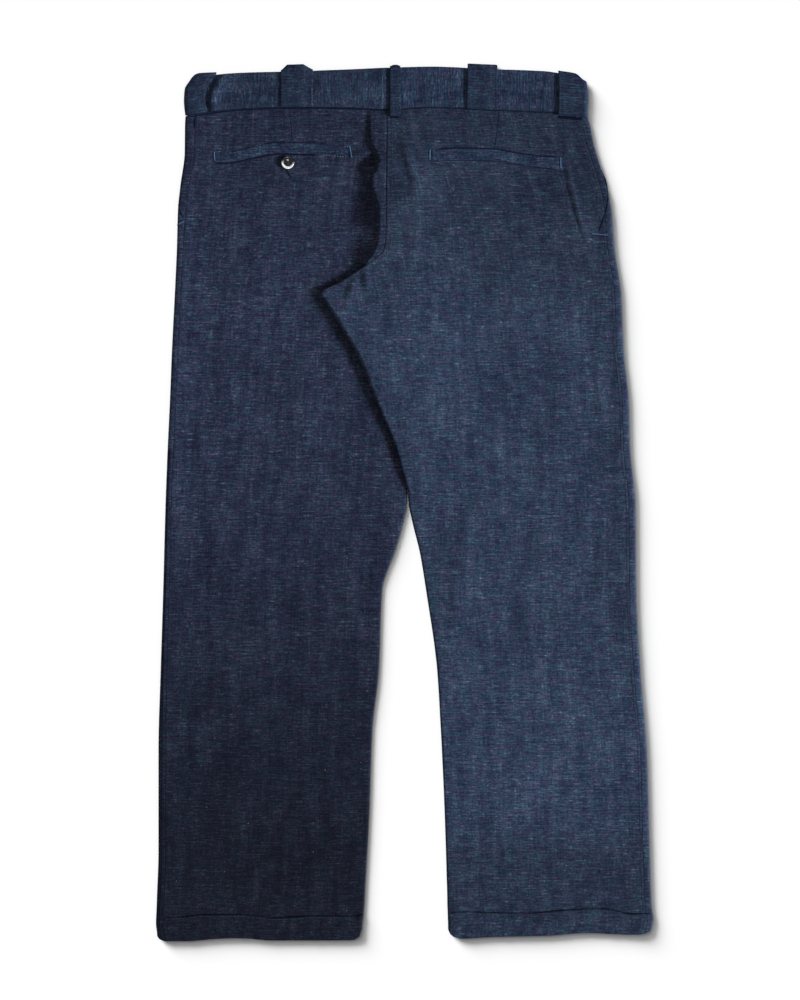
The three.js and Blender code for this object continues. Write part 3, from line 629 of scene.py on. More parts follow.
def back_left(row):
    """Section of the left back, from the outseam to the ridge, the flap or the inseam"""
    bottom = FLOOR_Z + inside_of(row) + SEAM
    top = left_top(row, fold(row))
    cx = fold_centre(row)
    foot = mix(edge(row) - ridge_shelf(row) - RIDGE_FLANK, cx, lap(row))
    end = mix(foot, fold(row) - HALF - (top - bottom), down(row))
    across = with_rims(outseam_left(row) + SEAM / 2, end, ACROSS, fine=FINE_LEFT)
    rise = ridge_tail(row) * (1 - lap(row))
    upper = points(across, left_top(row, across) + rise * bell((across - foot) / RIDGE_TAIL))

    shelf = edge(row) - ridge_shelf(row)
    foot_z = left_top(row, foot) + rise
    t = steps(FLANK)
    flank = points(mix(foot, shelf, t), mix(foot_z, crest(row), smooth(t)))
    seam = points(mix(shelf, edge(row) - SEAM / 2, steps(RUN)[1:]), crest(row))

    tail = max(SHORT_TAIL, cx - edge(row) - TAIL_INSET) if row > FLAP_LOW else SHORT_TAIL
    turn = 180 if row > FLAP_MIDDLE else front_turn(row)
    flap = turned_back(cx, LOW_Z, (RETURN_Z - LOW_Z) / 2, turn, tail)
    inner = mix(np.vstack([flank, seam]), flap, lap(row))
    inner = mix(inner, turned_down(fold(row), top, bottom), down(row))
    return np.vstack([upper[:-1], inner])


def front_right(row):
    """Section of the right front, from its inner edge to the side and round it"""
    start = mix(fold(row) + SEAM, edge(row) + TUCK, lap(row))
    side = right_out(row) - HALF - SIDE_R
    floor = mix(start, side, steps(UNDER + FLANK)[:-1])
    side_round = arc(side, FLOOR_Z + SIDE_R, SIDE_R, 0, 180, ROUND)
    over = with_rims(side, outseam_right(row) + SEAM / 2, 4, first=False, last=True)[1:]
    return np.vstack([
        points(floor, right_floor(row, floor)), side_round, points(over, right_top(row, over))])


def back_right(row):
    """Section of the right back, from the outseam to the centre-back seam or its free edge"""
    bottom = right_floor(row, edge(row) + TUCK) + inside_of(row) + SEAM
    reach = HALF + right_top(row, edge(row)) - bottom
    end = mix(edge(row) + SEAM / 2 + 3, edge(row) + reach, lap(row))
    across = with_rims(outseam_right(row) - SEAM / 2, end, ACROSS, fine=FINE_RIGHT)
    upper = points(across, right_top(row, across))
    seam = mix(end, edge(row) + SEAM / 2, steps(ROUND))
    closed = points(seam, right_top(row, seam))
    free = arc(edge(row) + reach, bottom, right_top(row, end) - bottom, -180, -90, ROUND)
    return np.vstack([upper[:-1], mix(closed, free, lap(row))])


def level(side, row, x):
    """Sections bend to the waist seam at the top and to the hem line at the bottom"""
    if row > BEND_TOP:
        return mix(row, waist_seam(x) - SEAM / 2, (row - BEND_TOP) / (WAIST_ROW - BEND_TOP))
    share = max(0, (BEND_HEM - row) / (BEND_HEM - HEM_END)) ** 2
    wave = hem_wave[side](x) * smooth(1 - abs(row - HEM_TOP) / (HEM_TOP - HEM_END))
    return row + share * (hem_line[side](x) - HEM_END) + wave


def section_rows(grid):
    """Levels of the sections: closer at the waist, the flap's tip and the hem"""
    plain = list(np.arange(WAIST_ROW, HEM_END, -grid))
    tip = list(np.arange(*TIP_ROWS, -grid / 2))
    step = [HEM_TOP + rise for rise in (1.2, 0.8, 0.3, -0.3, -0.8)]
    ends = [WAIST_ROW - r for r in RIM_STEPS] + [HEM_END + r for r in RIM_STEPS]
    rows = sorted(set(np.round(plain + tip + step + ends + [HEM_END], 2)), reverse=True)
    kept = [rows[0]]
    for row in rows[1:]:
        if kept[-1] - row > 0.1:
            kept.append(row)
    return kept


# Rims: how far in their rounding reaches and how thin they end. Sides of a path stay parallel
# at its corners up to one whose half turn has this cosine.
RIM_REACH = 0.7
RIM_THIN = 0.25
SHARPEST = 0.35


def offset_path(path, turn, outside, inside):
    """Points of a path moved to both sides in its own plane, kept parallel at its corners"""
    ahead = np.diff(path, axis=0)
    ahead /= np.maximum(np.linalg.norm(ahead, axis=1, keepdims=True), 1e-9)
    before = np.vstack([ahead[:1], ahead])
    after = np.vstack([ahead, ahead[-1:]])
    total = before + after
    half = np.maximum(np.linalg.norm(total, axis=1, keepdims=True) / 2, SHARPEST)
    normal = turn * np.stack([total[:, 1], -total[:, 0]], 1) / 2 / half**2
    return path - normal * outside, path + normal * inside


def lengths_along(spots, axis=0):
    """Distance of each point of a path or grid from the first one, measured along it"""
    step = np.linalg.norm(np.diff(spots, axis=axis), axis=-1)
    return np.insert(np.cumsum(step, axis=axis), 0, 0, axis=axis)


def round_rims(outer, inner, sewn):
    """Both faces drawn together towards the sheet's rims, so that its edges are rounded, but
    less at the first and last column where they are sewn"""
    middle = (outer + inner) / 2
    near = np.full(middle.shape[:2], np.inf)
    for axis in (0, 1):
        run = lengths_along(middle, axis)
        back = run.take([-1], axis=axis) - run
        if axis:
            run = run + RIM_REACH * sewn[0][:, None]
            back = back + RIM_REACH * sewn[1][:, None]
        near = np.minimum(near, np.minimum(run, back))
    share = np.clip(near / RIM_REACH, 0, 1)
    full = RIM_THIN + (1 - RIM_THIN) * np.sqrt(1 - (1 - share) ** 2)
    full = full[..., None]
    return middle + (outer - middle) * full, middle + (inner - middle) * full


def grid_faces(index, flipped):
    """Four-cornered faces of a grid of points, from the points' indices"""
    a, b, c, d = index[:-1, :-1], index[:-1, 1:], index[1:, 1:], index[1:, :-1]
    corners = (a, d, c, b) if flipped else (a, b, c, d)
    return np.stack(corners, -1).reshape(-1, 4)


def shell(name, sheets, grain, finish, sewn=None):
    """Closed cloth shell from rows of its outside's and inside's points, in millimetres"""
    sheets = np.array(sheets)
    sewn = np.zeros((2, len(sheets))) if sewn is None else sewn
    outer, inner = round_rims(sheets[:, 0], sheets[:, 1], sewn)
    rows, cols = outer.shape[:2]
    spot = np.concatenate([outer.reshape(-1, 3), inner.reshape(-1, 3)]) * MM
    index = np.arange(2 * rows * cols).reshape(2, rows, cols)
    ring = np.concatenate([
        index[:, 0, :], index[:, 1:, -1], index[:, -1, -2::-1], index[:, -2:0:-1, 0]], axis=1)
    after = np.roll(ring, -1, axis=1)
    rim = np.stack([ring[0], ring[1], after[1], after[0]], 1)
    faces = np.concatenate([grid_faces(index[0], False), grid_faces(index[1], True), rim])
    a, b, c, d = spot[faces.T]
    volume = np.einsum("ij,ij->i", a, np.cross(b, c)).sum()
    volume += np.einsum("ij,ij->i", a, np.cross(c, d)).sum()
    if volume < 0:
        faces = faces[:, ::-1]
    uv = np.concatenate([np.reshape(grain, (-1, 2))] * 2) * MM
    return mesh_object(name, spot, faces, finish, uv)


def mesh_object(name, spot, faces, finish, uv=None):
    """Smooth mesh object of points in metres and faces of one size, riding on the body"""
    mesh = bpy.data.meshes.new(name)
    mesh.from_pydata(spot.tolist(), [], faces.tolist())
    mesh.polygons.foreach_set("use_smooth", [True] * len(mesh.polygons))
    if uv is not None:
        corner = np.empty(len(mesh.loops), int)
        mesh.loops.foreach_get("vertex_index", corner)
        layer = mesh.uv_layers.new(name="grain")
        layer.data.foreach_set("uv", uv[corner].ravel())
    mesh.materials.append(bpy.data.materials[finish])
    mesh.update()
    made = bpy.data.objects.new(name, mesh)
    bpy.context.scene.collection.objects.link(made)
    bpy.data.collections["garment"].objects.link(made)
    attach(made, BODY)
    return made


# How much less a panel's rim is rounded where it is sewn, and how much wider apart the
# sections of the fronts are
SEWN_SEAT = 0.75
SEWN_SIDE = 0.3
FRONT_SPACING = 1.6


def panel_shell(name, side, section, grid, is_back):
    """Leg panel through its sections, with its grain measured along each of them"""
    sheets = []
    grain = []
    rows = section_rows(grid)
    turn = 1 if side == "left" else -1
    for row in rows:
        path = section(row)
        faces = offset_path(path, turn, HALF, inside_of(row))
        sheets.append([np.stack([x, level(side, row, x), z], 1) for x, z in (face.T for face in faces)])
        grain.append(np.stack([lengths_along(path), level(side, row, path[:, 0])], 1))
    closed = np.where(is_back, SEWN_SEAT * (1 - lap(np.array(rows))), SEWN_SIDE)
    sewn = np.stack([np.full(len(rows), SEWN_SIDE * is_back), closed])
    return shell(name, sheets, grain, "cloth_" + side, sewn)


def band_point(along, off):
    """Point over the waistband's outside, at a distance along it and off its surface"""
    side = math.copysign(1, along)
    start = BEND_LEFT if side < 0 else BEND_RIGHT
    outer = BAND_R + BAND_HALF
    angle = max(0, side * (along - start)) / outer
    flat = side * min(side * along, side * start)
    x = flat + side * (outer + off) * math.sin(angle)
    return x, BAND_TOP_Z - BAND_R + (outer + off) * math.cos(angle)


def band_relief(x, y, share):
    """Height of the waistband's creases and its padded look between the stitched edges"""
    padded = 0.35 * np.sin(math.pi * np.clip(share, 0, 1)) ** 0.5
    wave = 0.18 + 0.18 * soft_noise(x, y, 24, 30, 51) + 0.1 * soft_noise(x, y, 8, 40, 52)
    return padded + wave + np.maximum(0, creases(BAND_CREASES, x, y, 2.2))


def waistband_shell():
    """Waistband along the floor, round the side, across the back and round again"""
    path = np.vstack([
        points(mix(CENTRE_FRONT + SEAM / 2, BEND_RIGHT, steps(30)[:-1]), BAND_HALF),
        arc(BEND_RIGHT, BAND_HALF + BAND_R, BAND_R, 0, 180, ROUND),
        points(mix(BEND_RIGHT, BEND_LEFT, steps(220)[1:-1]), BAND_TOP_Z),
        arc(BEND_LEFT, BAND_HALF + BAND_R, BAND_R, -180, 0, ROUND),
        points(mix(BEND_LEFT, CENTRE_FRONT - SEAM / 2, steps(30)[1:]), BAND_HALF)])
    run = lengths_along(path)
    on_back = path[:, 1] > BAND_TOP_Z - 0.01
    rim = RIM_STEPS / BAND_DEEP
    sheets = []
    grain = []
    for share in sorted([*steps(16), *rim, *(1 - rim)]):
        faces = []
        for x, z in (face.T for face in offset_path(path, -1, BAND_HALF, BAND_HALF)):
            y = mix(waist_seam(x) + SEAM / 2, waist_top(x), share)
            ends = smooth((x - BEND_LEFT) / BAND_ENDS) * smooth((BEND_RIGHT - x) / BAND_ENDS)
            faces.append(np.stack([x, y, z + on_back * ends * band_relief(x, y, share)], 1))
        sheets.append(faces)
        grain.append(np.stack([np.full(len(run), share * BAND_DEEP), run], 1))
    return shell("waistband_cloth", sheets, grain, "cloth_band")


def through(control, count):
    """Smooth path through a few control points, cut into equal steps of their number"""
    control = np.array(control, float)
    tangent = np.gradient(control, axis=0)
    t = steps(count) * (len(control) - 1)
    i = np.minimum(t.astype(int), len(control) - 2)
    u = (t - i)[:, None]
    a, b = control[i], control[i + 1]
    held = a * (1 + 2 * u) * (1 - u) ** 2 + b * u * u * (3 - 2 * u)
    return held + tangent[i] * u * (1 - u) ** 2 - tangent[i + 1] * u * u * (1 - u)


def loop_path(foot, rim, crown, hook):
    """Side view of a belt loop: up over the band and down behind its top edge"""
    seat = LOOP_WALL / 2 + SEAM
    arch = [(u, seat + LOOP_STAND * math.sin(math.pi * (u * 0.8 + 0.04)))
            for u in (0, 0.04, 0.1, 0.25, 0.45, 0.65, 0.82, 0.93)]
    control = [(mix(foot, rim, u), off) for u, off in arch]
    control += [(mix(rim, crown, 0.5), seat + 0.5), (mix(rim, crown, 0.9), seat - 0.5),
                (crown, -0.7), (crown, -hook)]
    return through(control, 44)


def belt_loop_shell(row):
    """Belt loop, a folded strip that stands off the band between its two sewn ends"""
    bends = [x for x in (BEND_LEFT, BEND_RIGHT) if row["left"] < x < row["right"]]
    stops = [row["left"], *bends, row["right"]]
    reach = row["right"] - row["left"]
    sheets = []
    grain = []
    for across in with_rims(0, reach, max(10, int(reach / LOOP_COLUMN)), last=True) / reach:
        spot = across * (len(stops) - 1)
        i = min(len(stops) - 2, int(spot))

        def along(share):
            ends = list(stops)
            ends[0] += row["lean_left"] * (share - 0.5)
            ends[-1] += row["lean_right"] * (share - 0.5) + row["bow"] * math.sin(math.pi * share)
            return mix(ends[i], ends[i + 1], spot - i)

        foot = waist_seam(band_point(along(0), 0)[0]) - row["below"]
        rim = waist_top(band_point(along(1), 0)[0]) + SEAM
        left_cut = 1 - across * reach / row["cut_left"]
        corner = row["corner"] * max(0, left_cut, 1 - (1 - across) * reach / row["cut_right"])
        crown = rim + row["proud"] - LOOP_WALL / 2 - corner
        path = loop_path(foot, rim, max(crown, rim + 0.4), row["hook"])
        curl = row["curl_left"] * bell(across / LOOP_CURL)
        curl += row["curl_right"] * bell((across - 1) / LOOP_CURL)
        rise = np.clip((path[:, 0] - foot) / (rim - foot), 0, 1)
        belly = np.sin(math.pi * rise)
        dimple = 0.16 * soft_noise(path[:, 0], across * reach, 9, 7, 61)
        path[:, 1] += belly * (curl + dimple) + row["lift"] * smooth(1.2 - rise * 5)
        faces = []
        for face in offset_path(path, 1, LOOP_WALL / 2, LOOP_WALL / 2):
            over = [band_point(along(share), off) for share, off in zip(rise, face[:, 1])]
            faces.append([(x, y, z) for (x, z), y in zip(over, face[:, 0])])
        sheets.append(faces)
        grain.append(np.stack([np.full(len(path), across * reach), lengths_along(path)], 1))
    return shell(row["name"] + "_cloth", sheets, grain, "cloth_loops")


class Surface:
    """The cloth made so far, seen from above, to lay smaller pieces on"""

    above = 0.1
    down = Vector((0, 0, -1))

    def __init__(self, *objects):
        self.trees = []
        for made in objects:
            spots = [v.co for v in made.data.vertices]
            faces = [p.vertices[:] for p in made.data.polygons]
            self.trees.append(BVHTree.FromPolygons(spots, faces))

    def at(self, x, y):
        """Height in millimetres and upward normal at a point"""
        best = (0.0, -self.down)
        for tree in self.trees:
            spot, normal, _, _ = tree.ray_cast(Vector((x * MM, y * MM, self.above)), self.down)
            if spot is not None and spot.z / MM > best[0]:
                best = (spot.z / MM, normal if normal.z > 0 else -normal)
        return best

    def height(self, x, y, around=0.0):
        """Highest point within a short distance"""
        return max(self.at(x + a, y + b)[0] for a, b in (
            (0, 0), (around, 0), (-around, 0), (0, around), (0, -around)))


def welt_shell(name, rows, surface):
    """Welt of a back pocket, a narrow folded strip sewn on by its lower edge"""
    low, high = curves(rows, "x", "low high")
    places = with_rims(rows[0]["x"], rows[-1]["x"], 70, last=True)
    deep = float(np.mean([row["high"] - row["low"] for row in rows]))
    shares = with_rims(0, deep, 8, last=True) / deep
    ground = [[surface.height(x, mix(low(x), high(x), s), 1.5) for x in places] for s in (0, 0.5, 1)]
    kernel = np.ones(WELT_SMOOTHING) / WELT_SMOOTHING
    ground = [np.convolve(np.pad(g, WELT_SMOOTHING // 2, "edge"), kernel, "valid") for g in ground]
    ends = 0.3 + 0.7 * smooth(np.minimum(places - places[0], places[-1] - places) / WELT_ENDS)
    sheets = []
    grain = []
    for share in shares:
        y = mix(low(places), high(places), share)
        part = min(int(share * 2), 1)
        base = mix(ground[part], ground[part + 1], share * 2 - part) + SEAM
        ripple = 0.2 * soft_noise(places, y, 6, 20, 71) + 0.06 * soft_noise(places, y, 3, 8, 72)
        crown = 0.3 * math.sin(math.pi * share) + 0.15 * share
        top = base + (WELT_WALL + crown + ripple) * ends
        sheets.append([np.stack([places, y, z], 1) for z in (top, base)])
        grain.append(np.stack([places, y], 1))
    return shell(name, sheets, grain, "cloth_welts")


def resample(path, pitch):
    """Points along a path at equal distances"""
    path = np.array(path, float)
    run = lengths_along(path)
    at = np.arange(0, run[-1], pitch)
    return np.stack([np.interp(at, run, path[:, k]) for k in (0, 1)], 1)


# Rings of a stitch: place along it, width, and height in thread radii
STITCH_RINGS = ((-0.5, 0.45, -0.55), (-0.34, 0.95, 0.35), (0, 1.0, 0.6), (0.34, 0.95, 0.35),
                (0.5, 0.45, -0.55))
STITCH_SIDES = 6
STITCH_JITTER = 0.07
SHORTEST_STITCH = 0.1
STEEPEST_STITCH = 2
TACK_WIDTH = 1.3
TACK_GAP = 0.42
CORD_SIDES = 8
CORD_PITCH = 0.8


def circle(sides):
    """Points round a circle of radius 1"""
    angle = steps(sides)[:-1] * 2 * math.pi
    return np.stack([np.cos(angle), np.sin(angle)], 1)


def tube_faces(count, sides, first=0):
    """Indices of the points of several rings, and the four-cornered faces between the rings"""
    index = first + np.arange(count * sides).reshape(count, sides)
    after = np.roll(index, -1, axis=1)
    return index, np.stack([index[:-1], after[:-1], after[1:], index[1:]], -1).reshape(-1, 4)


def stitch_mesh(pairs, surface, radius, lift=0.0):
    """Points and faces of stitches between pairs of places on a surface"""
    ring = circle(STITCH_SIDES)
    spots = []
    faces = []
    for start, end in pairs:
        z0, n0 = surface.at(*start)
        z1, n1 = surface.at(*end)
        a = np.array([start[0], start[1], z0 + lift])
        b = np.array([end[0], end[1], z1 + lift])
        along = b - a
        size = np.linalg.norm(along)
        if size < SHORTEST_STITCH or abs(z1 - z0) > STEEPEST_STITCH:
            continue
        along /= size
        up = np.array((n0 + n1).normalized())
        up -= along * up.dot(along)
        up /= np.linalg.norm(up)
        aside = np.cross(along, up)
        first = len(spots) * STITCH_SIDES
        for t, wide, high in STITCH_RINGS:
            centre = (a + b) / 2 + along * t * size + up * high * radius
            spots.append(centre + radius * wide * (ring[:, :1] * aside + ring[:, 1:] * up))
        index, tube = tube_faces(len(STITCH_RINGS), STITCH_SIDES, first)
        faces.append(tube)
        for end_ring in (index[0], index[-1][::-1]):
            faces.append(end_ring[[3, 2, 1, 0]][None])
            faces.append(end_ring[[5, 4, 3, 0]][None])
    return np.concatenate(spots) * MM, np.concatenate(faces)


def running_stitches(path, pitch, length, seed):
    """Ends of the stitches of a seam along a path"""
    spots = resample(path, pitch)
    spots = spots + np.random.default_rng(seed).normal(0, STITCH_JITTER, spots.shape)
    return [(a, mix(a, b, length / pitch)) for a, b in zip(spots[:-1], spots[1:])]


def bar_tack(centre, angle, length):
    """Ends of the close threads of a bar tack, laid across its length"""
    ax = np.array([math.cos(math.radians(angle)), math.sin(math.radians(angle))])
    side = np.array([-ax[1], ax[0]])
    slant = ax * TACK_GAP * 0.5
    rng = np.random.default_rng(int(abs(centre[0]) * 10))
    pairs = []
    for t in steps(int(length / TACK_GAP)):
        mid = np.array(centre) + ax * (t - 0.5) * length
        reach = side * TACK_WIDTH / 2 * rng.uniform(0.85, 1.15)
        pairs.append((mid - reach - slant, mid + reach + slant))
    return pairs


def cord_mesh(path, surface, width, height, taper=3.0):
    """Points and faces of a thin flattened cord that lies along a path on a surface"""
    spots = resample(path, CORD_PITCH)
    run = np.arange(len(spots)) * CORD_PITCH
    ends = smooth(np.minimum(run, run[-1] - run) / taper + 0.15)
    across, up = circle(CORD_SIDES).T[..., None]
    direction = np.gradient(spots, axis=0)
    direction /= np.linalg.norm(direction, axis=1, keepdims=True)
    rings = []
    for spot, heading, end in zip(spots, direction, ends):
        centre = np.array([*spot, surface.at(*spot)[0]])
        aside = across * np.array([-heading[1], heading[0], 0]) * width / 2 * end
        rings.append(centre + aside + up * np.array([0, 0, height * end]))
    return np.concatenate(rings) * MM, tube_faces(len(rings), CORD_SIDES)[1]


def join_meshes(parts):
    """One set of points and faces from several"""
    spots = np.concatenate([part[0] for part in parts])
    starts = np.cumsum([0] + [len(part[0]) for part in parts[:-1]])
    faces = np.concatenate([part[1] + start for part, start in zip(parts, starts)])
    return spots, faces


def add_node(tree, kind, inputs=None, **settings):
    """Outputs of a new shader node with its settings, and values or links on its inputs"""
    made = tree.nodes.new("ShaderNode" + kind)
    for name, value in settings.items():
        setattr(made, name, value)
    for name, value in (inputs or {}).items():
        if isinstance(value, bpy.types.NodeSocket):
            tree.links.new(value, made.inputs[name])
        else:
            made.inputs[name].default_value = value
    return made.outputs


def new_tree(name):
    """Empty node tree of a new material"""
    made = bpy.data.materials.new(name)
    made.use_nodes = True
    made.node_tree.nodes.clear()
    return made.node_tree


def finish_shader(tree, inputs, relief=None):
    """Shader and output of a material, with its relief's strength, depth and height"""
    if relief:
        inputs["Normal"] = add_node(tree, "Bump", dict(zip(("Strength", "Distance", "Height"), relief)))[0]
    shader = add_node(tree, "BsdfPrincipled", inputs)[0]
    add_node(tree, "OutputMaterial", {"Surface": shader})


def calc(tree, operation, a, b=0.0, c=0.0):
    """Result of a sum on two or three values"""
    return add_node(tree, "Math", {0: a, 1: b, 2: c}, operation=operation)[0]


def between(tree, value, low, high):
    """Soft share from 0 at the low value to 1 at the high one"""
    return add_node(tree, "MapRange", {
        "Value": value, "From Min": low, "From Max": high, "To Min": 0.0, "To Max": 1.0,
    }, interpolation_type="SMOOTHSTEP")["Result"]


def tint(tree, factor, a, b, blend_type="MIX"):
    """Mix of two colours"""
    inputs = {0: factor, 6: a, 7: b}
    return add_node(tree, "Mix", inputs, data_type="RGBA", blend_type=blend_type)[2]


def vector_calc(tree, operation, inputs):
    """Result of a sum on vectors, or the number that it gives"""
    outputs = add_node(tree, "VectorMath", inputs, operation=operation)
    return outputs["Value" if operation in ("LENGTH", "DISTANCE") else "Vector"]


def scaled(tree, place, wide, long, seed=0.0):
    """Place in units of a width and a length in millimetres, moved on by a seed"""
    return vector_calc(tree, "MULTIPLY_ADD", {
        0: place, 1: (1000 / wide, 1000 / long, 0.0), 2: (seed, seed * 0.7, seed)})


def noise(tree, place, wide, long, seed=0.0, detail=2.0, roughness=0.5):
    """Noise value around a half, its lumps of a width and length in millimetres"""
    return add_node(tree, "TexNoise", {
        "Vector": scaled(tree, place, wide, long, seed), "Scale": 1.0, "Detail": detail,
        "Roughness": roughness}, noise_dimensions="3D")[0]


def rgba(colour, gain=1.0):
    """Colour made brighter by a gain, with full opacity"""
    return (*[min(1.0, c * gain) for c in colour], 1.0)


def fades_between(tree, length, ends):
    """Share that rises from 0 to 1 as a length in metres goes between two in millimetres"""
    return between(tree, length, ends[0] * MM, ends[1] * MM)


def tone_falloff(tree, along, falloffs):
    """Share of the colour that stays: each falloff darkens it by a depth from one place to another, and
    lightens it where the depth is below 0; on the legs it is painted shade and light
    """
    kept = 1.0
    for start, end, depth in falloffs:
        share = fades_between(tree, along, sorted((start, end)))
        if end < start:
            share = calc(tree, "SUBTRACT", 1.0, share)
        kept = calc(tree, "MULTIPLY", kept, calc(tree, "MULTIPLY_ADD", share, -depth, 1.0))
    return kept


# How strongly red, green and blue follow the cloth's tone
TONE_GAINS = (1.04, 1.0, 0.76)

# Neps, the white specks: the size of the cells that hold at most one each, the radii between
# which one fades out, the chance from which a cell has one, and how white it is
NEP_CELL = 6.5
NEP_RADIUS = (0.04, 0.11)
NEP_CHANCE = (0.90, 0.96)
NEP_WHITE = 0.35


def cloth_material(name, colour, look, seed, falloffs=(), contrast=1.0):
    """Slubby plain weave: dark warp, paler uneven weft, cloudy dye, a few white neps and falloffs of its
    tone along the cloth.
    The grain layer holds the place across and along the cloth."""
    tree = new_tree(name)
    grain = add_node(tree, "UVMap", uv_map="grain")["UV"]
    slub, short, warp, fleck, cloud, bands, wash, hue = [
        noise(tree, grain, wide, long, seed + shift, detail, roughness)
        for wide, long, shift, detail, roughness in (
            (look.slub * 1000, 1.7, 0, 2.0, 0.5), (7.5, 1.6, 9, 1.0, 0.5), (1.7, 19.0, 17, 2.0, 0.5),
            (2.5, 2.2, 23, 1.0, 0.5), (16, 13, 31, 2.0, 0.6), (10, 80, 53, 2.0, 0.5),
            (60, 75, 37, 2.0, 0.5), (14, 8, 43, 3.0, 0.6))]
    swing = calc(tree, "MULTIPLY_ADD", between(tree, short, 0.58, 0.82), 0.6, -0.06)
    for value, size in ((slub, 1.95), (short, 1.4), (warp, 1.15), (fleck, 2.0), (cloud, 1.2),
                        (bands, 1.3), (wash, 0.9)):
        swing = calc(tree, "MULTIPLY_ADD", calc(tree, "SUBTRACT", value, 0.5), size, swing)

    place = add_node(tree, "SeparateXYZ", {0: grain})
    sway = calc(tree, "MULTIPLY", calc(tree, "SUBTRACT", fleck, 0.5), 2.2)
    weft, thread = [calc(tree, "SINE", calc(tree, "ADD", calc(
        tree, "MULTIPLY", place[axis], 2 * math.pi / look.pitch), sway)) for axis in "YX"]
    weave = calc(tree, "MULTIPLY", weft, thread)
    swing = calc(tree, "MULTIPLY", calc(tree, "MULTIPLY_ADD", weave, 0.08, swing), contrast)
    tone = add_node(tree, "CombineXYZ", {
        channel: calc(tree, "EXPONENT", calc(tree, "MULTIPLY", swing, gain))
        for channel, gain in enumerate(TONE_GAINS)})[0]

    cast = tint(tree, between(tree, hue, 0.35, 0.65), rgba(look.violet), rgba(look.teal))
    shade = tint(tree, 1.0, rgba(colour), cast, "MULTIPLY")
    base = vector_calc(tree, "MULTIPLY", {0: shade, 1: tone})
    base = vector_calc(tree, "SCALE", {0: base, "Scale": tone_falloff(tree, place["Y"], falloffs)})
    cell = add_node(tree, "TexVoronoi", {
        "Vector": scaled(tree, grain, NEP_CELL, NEP_CELL, seed), "Scale": 1.0}, feature="F1")
    chance = add_node(tree, "SeparateXYZ", {0: cell["Color"]})["X"]
    near = calc(tree, "SUBTRACT", 1.0, between(tree, cell["Distance"], *NEP_RADIUS))
    nep = calc(tree, "MULTIPLY", near, between(tree, chance, *NEP_CHANCE))
    base = tint(tree, calc(tree, "MULTIPLY", nep, NEP_WHITE), base, rgba(look.nep))

    height = calc(tree, "MULTIPLY", weave, 0.05)
    for value, size in ((short, 0.45), (slub, 0.35), (warp, 0.3), (fleck, 0.4)):
        height = calc(tree, "MULTIPLY_ADD", value, size, height)
    finish_shader(tree, {
        "Base Color": base, "Roughness": calc(tree, "MULTIPLY_ADD", cloud, 0.16, 0.78),
        "Specular IOR Level": 0.1, "Sheen Weight": look.sheen, "Sheen Roughness": 0.5,
        "Sheen Tint": (0.75, 0.82, 1.0, 1.0)}, (look.bump, 0.0006, height))


def thread_material(name, colour, ply=0.6, shine=0.35):
    """Sewing thread with a fine twist"""
    tree = new_tree(name)
    place = add_node(tree, "TexCoord")["Object"]
    twist = add_node(tree, "TexWave", {
        "Vector": scaled(tree, place, ply, ply * 1.3), "Scale": 1.0, "Distortion": 1.2},
        bands_direction="DIAGONAL")[1]
    uneven = calc(tree, "MULTIPLY_ADD", noise(tree, place, 4, 4, 3.0), 0.7, 0.5)
    tone = calc(tree, "MULTIPLY_ADD", twist, 0.35, uneven)
    finish_shader(tree, {
        "Base Color": vector_calc(tree, "SCALE", {0: rgba(colour)[:3], "Scale": tone}),
        "Roughness": 0.62, "Specular IOR Level": shine}, (0.4, 0.0002, twist))


# Pale streak on the lower side of the button's rim: partly the horn's own pale grain, partly painted
# highlight where the rim catches the light, with the upper side and the outer edge left dark as painted
# shade. From the button's middle: the middle of its dished inner edge, where that edge and its outer edge
# fade, how far it leans, how uneven it is, and where it ends
STREAK_MIDDLE = (0.1, 1.0)
STREAK_INNER = (4.9, 5.6)
STREAK_OUTER = (6.7, 7.2)
STREAK_LEAN = -0.12
STREAK_UNEVEN = 3
STREAK_ENDS = (-1.6, 2.8)


def horn_material(look):
    """Polished dark horn with a pale streak on the lower side of its rim, partly its own grain and partly
    painted highlight
    """
    tree = new_tree("polished_horn")
    place = add_node(tree, "TexCoord")["Object"]
    grain = noise(tree, place, 6, 1.6, 2.0, 4.0, 0.6)
    cloudy = noise(tree, place, 3.5, 3.5, 5.0, 3.0)
    dark = tint(tree, between(tree, grain, 0.4, 0.7), rgba(look.dark), rgba(look.brown))
    offset = vector_calc(tree, "SUBTRACT", {0: place, 1: (BUTTON_X * MM, BUTTON_Y * MM, 0)})
    split = add_node(tree, "SeparateXYZ", {0: offset})
    flat = add_node(tree, "CombineXYZ", {0: split["X"], 1: split["Y"], 2: 0.0})[0]
    radius = vector_calc(tree, "LENGTH", {0: flat})
    dish = vector_calc(
        tree, "DISTANCE", {0: flat, 1: (STREAK_MIDDLE[0] * MM, STREAK_MIDDLE[1] * MM, 0)})
    ring = calc(tree, "SUBTRACT", fades_between(tree, dish, STREAK_INNER),
                fades_between(tree, radius, STREAK_OUTER))
    lean = calc(tree, "SUBTRACT", calc(tree, "MULTIPLY", split["X"], STREAK_LEAN), split["Y"])
    uneven = calc(tree, "SUBTRACT", cloudy, 0.5)
    lean = calc(tree, "MULTIPLY_ADD", uneven, STREAK_UNEVEN * MM, lean)
    streak_and_highlight = calc(tree, "MULTIPLY", ring, fades_between(tree, lean, STREAK_ENDS))
    finish_shader(tree, {
        "Base Color": tint(tree, streak_and_highlight, dark, rgba(look.cream_and_highlight)),
        "Roughness": calc(tree, "MULTIPLY_ADD", cloudy, 0.12, 0.1), "Specular IOR Level": 0.3,
        "Coat Weight": 0.3, "Coat Roughness": 0.08})


def floor_material(look):
    """Pale matt paper with a faint tooth"""
    tree = new_tree("pale_paper")
    tooth = noise(tree, add_node(tree, "TexCoord")["Object"], 2, 2)
    finish_shader(tree, {
        "Base Color": tint(tree, tooth, rgba(look.floor, 0.992), rgba(look.floor)),
        "Roughness": 0.95, "Specular IOR Level": 0.0})


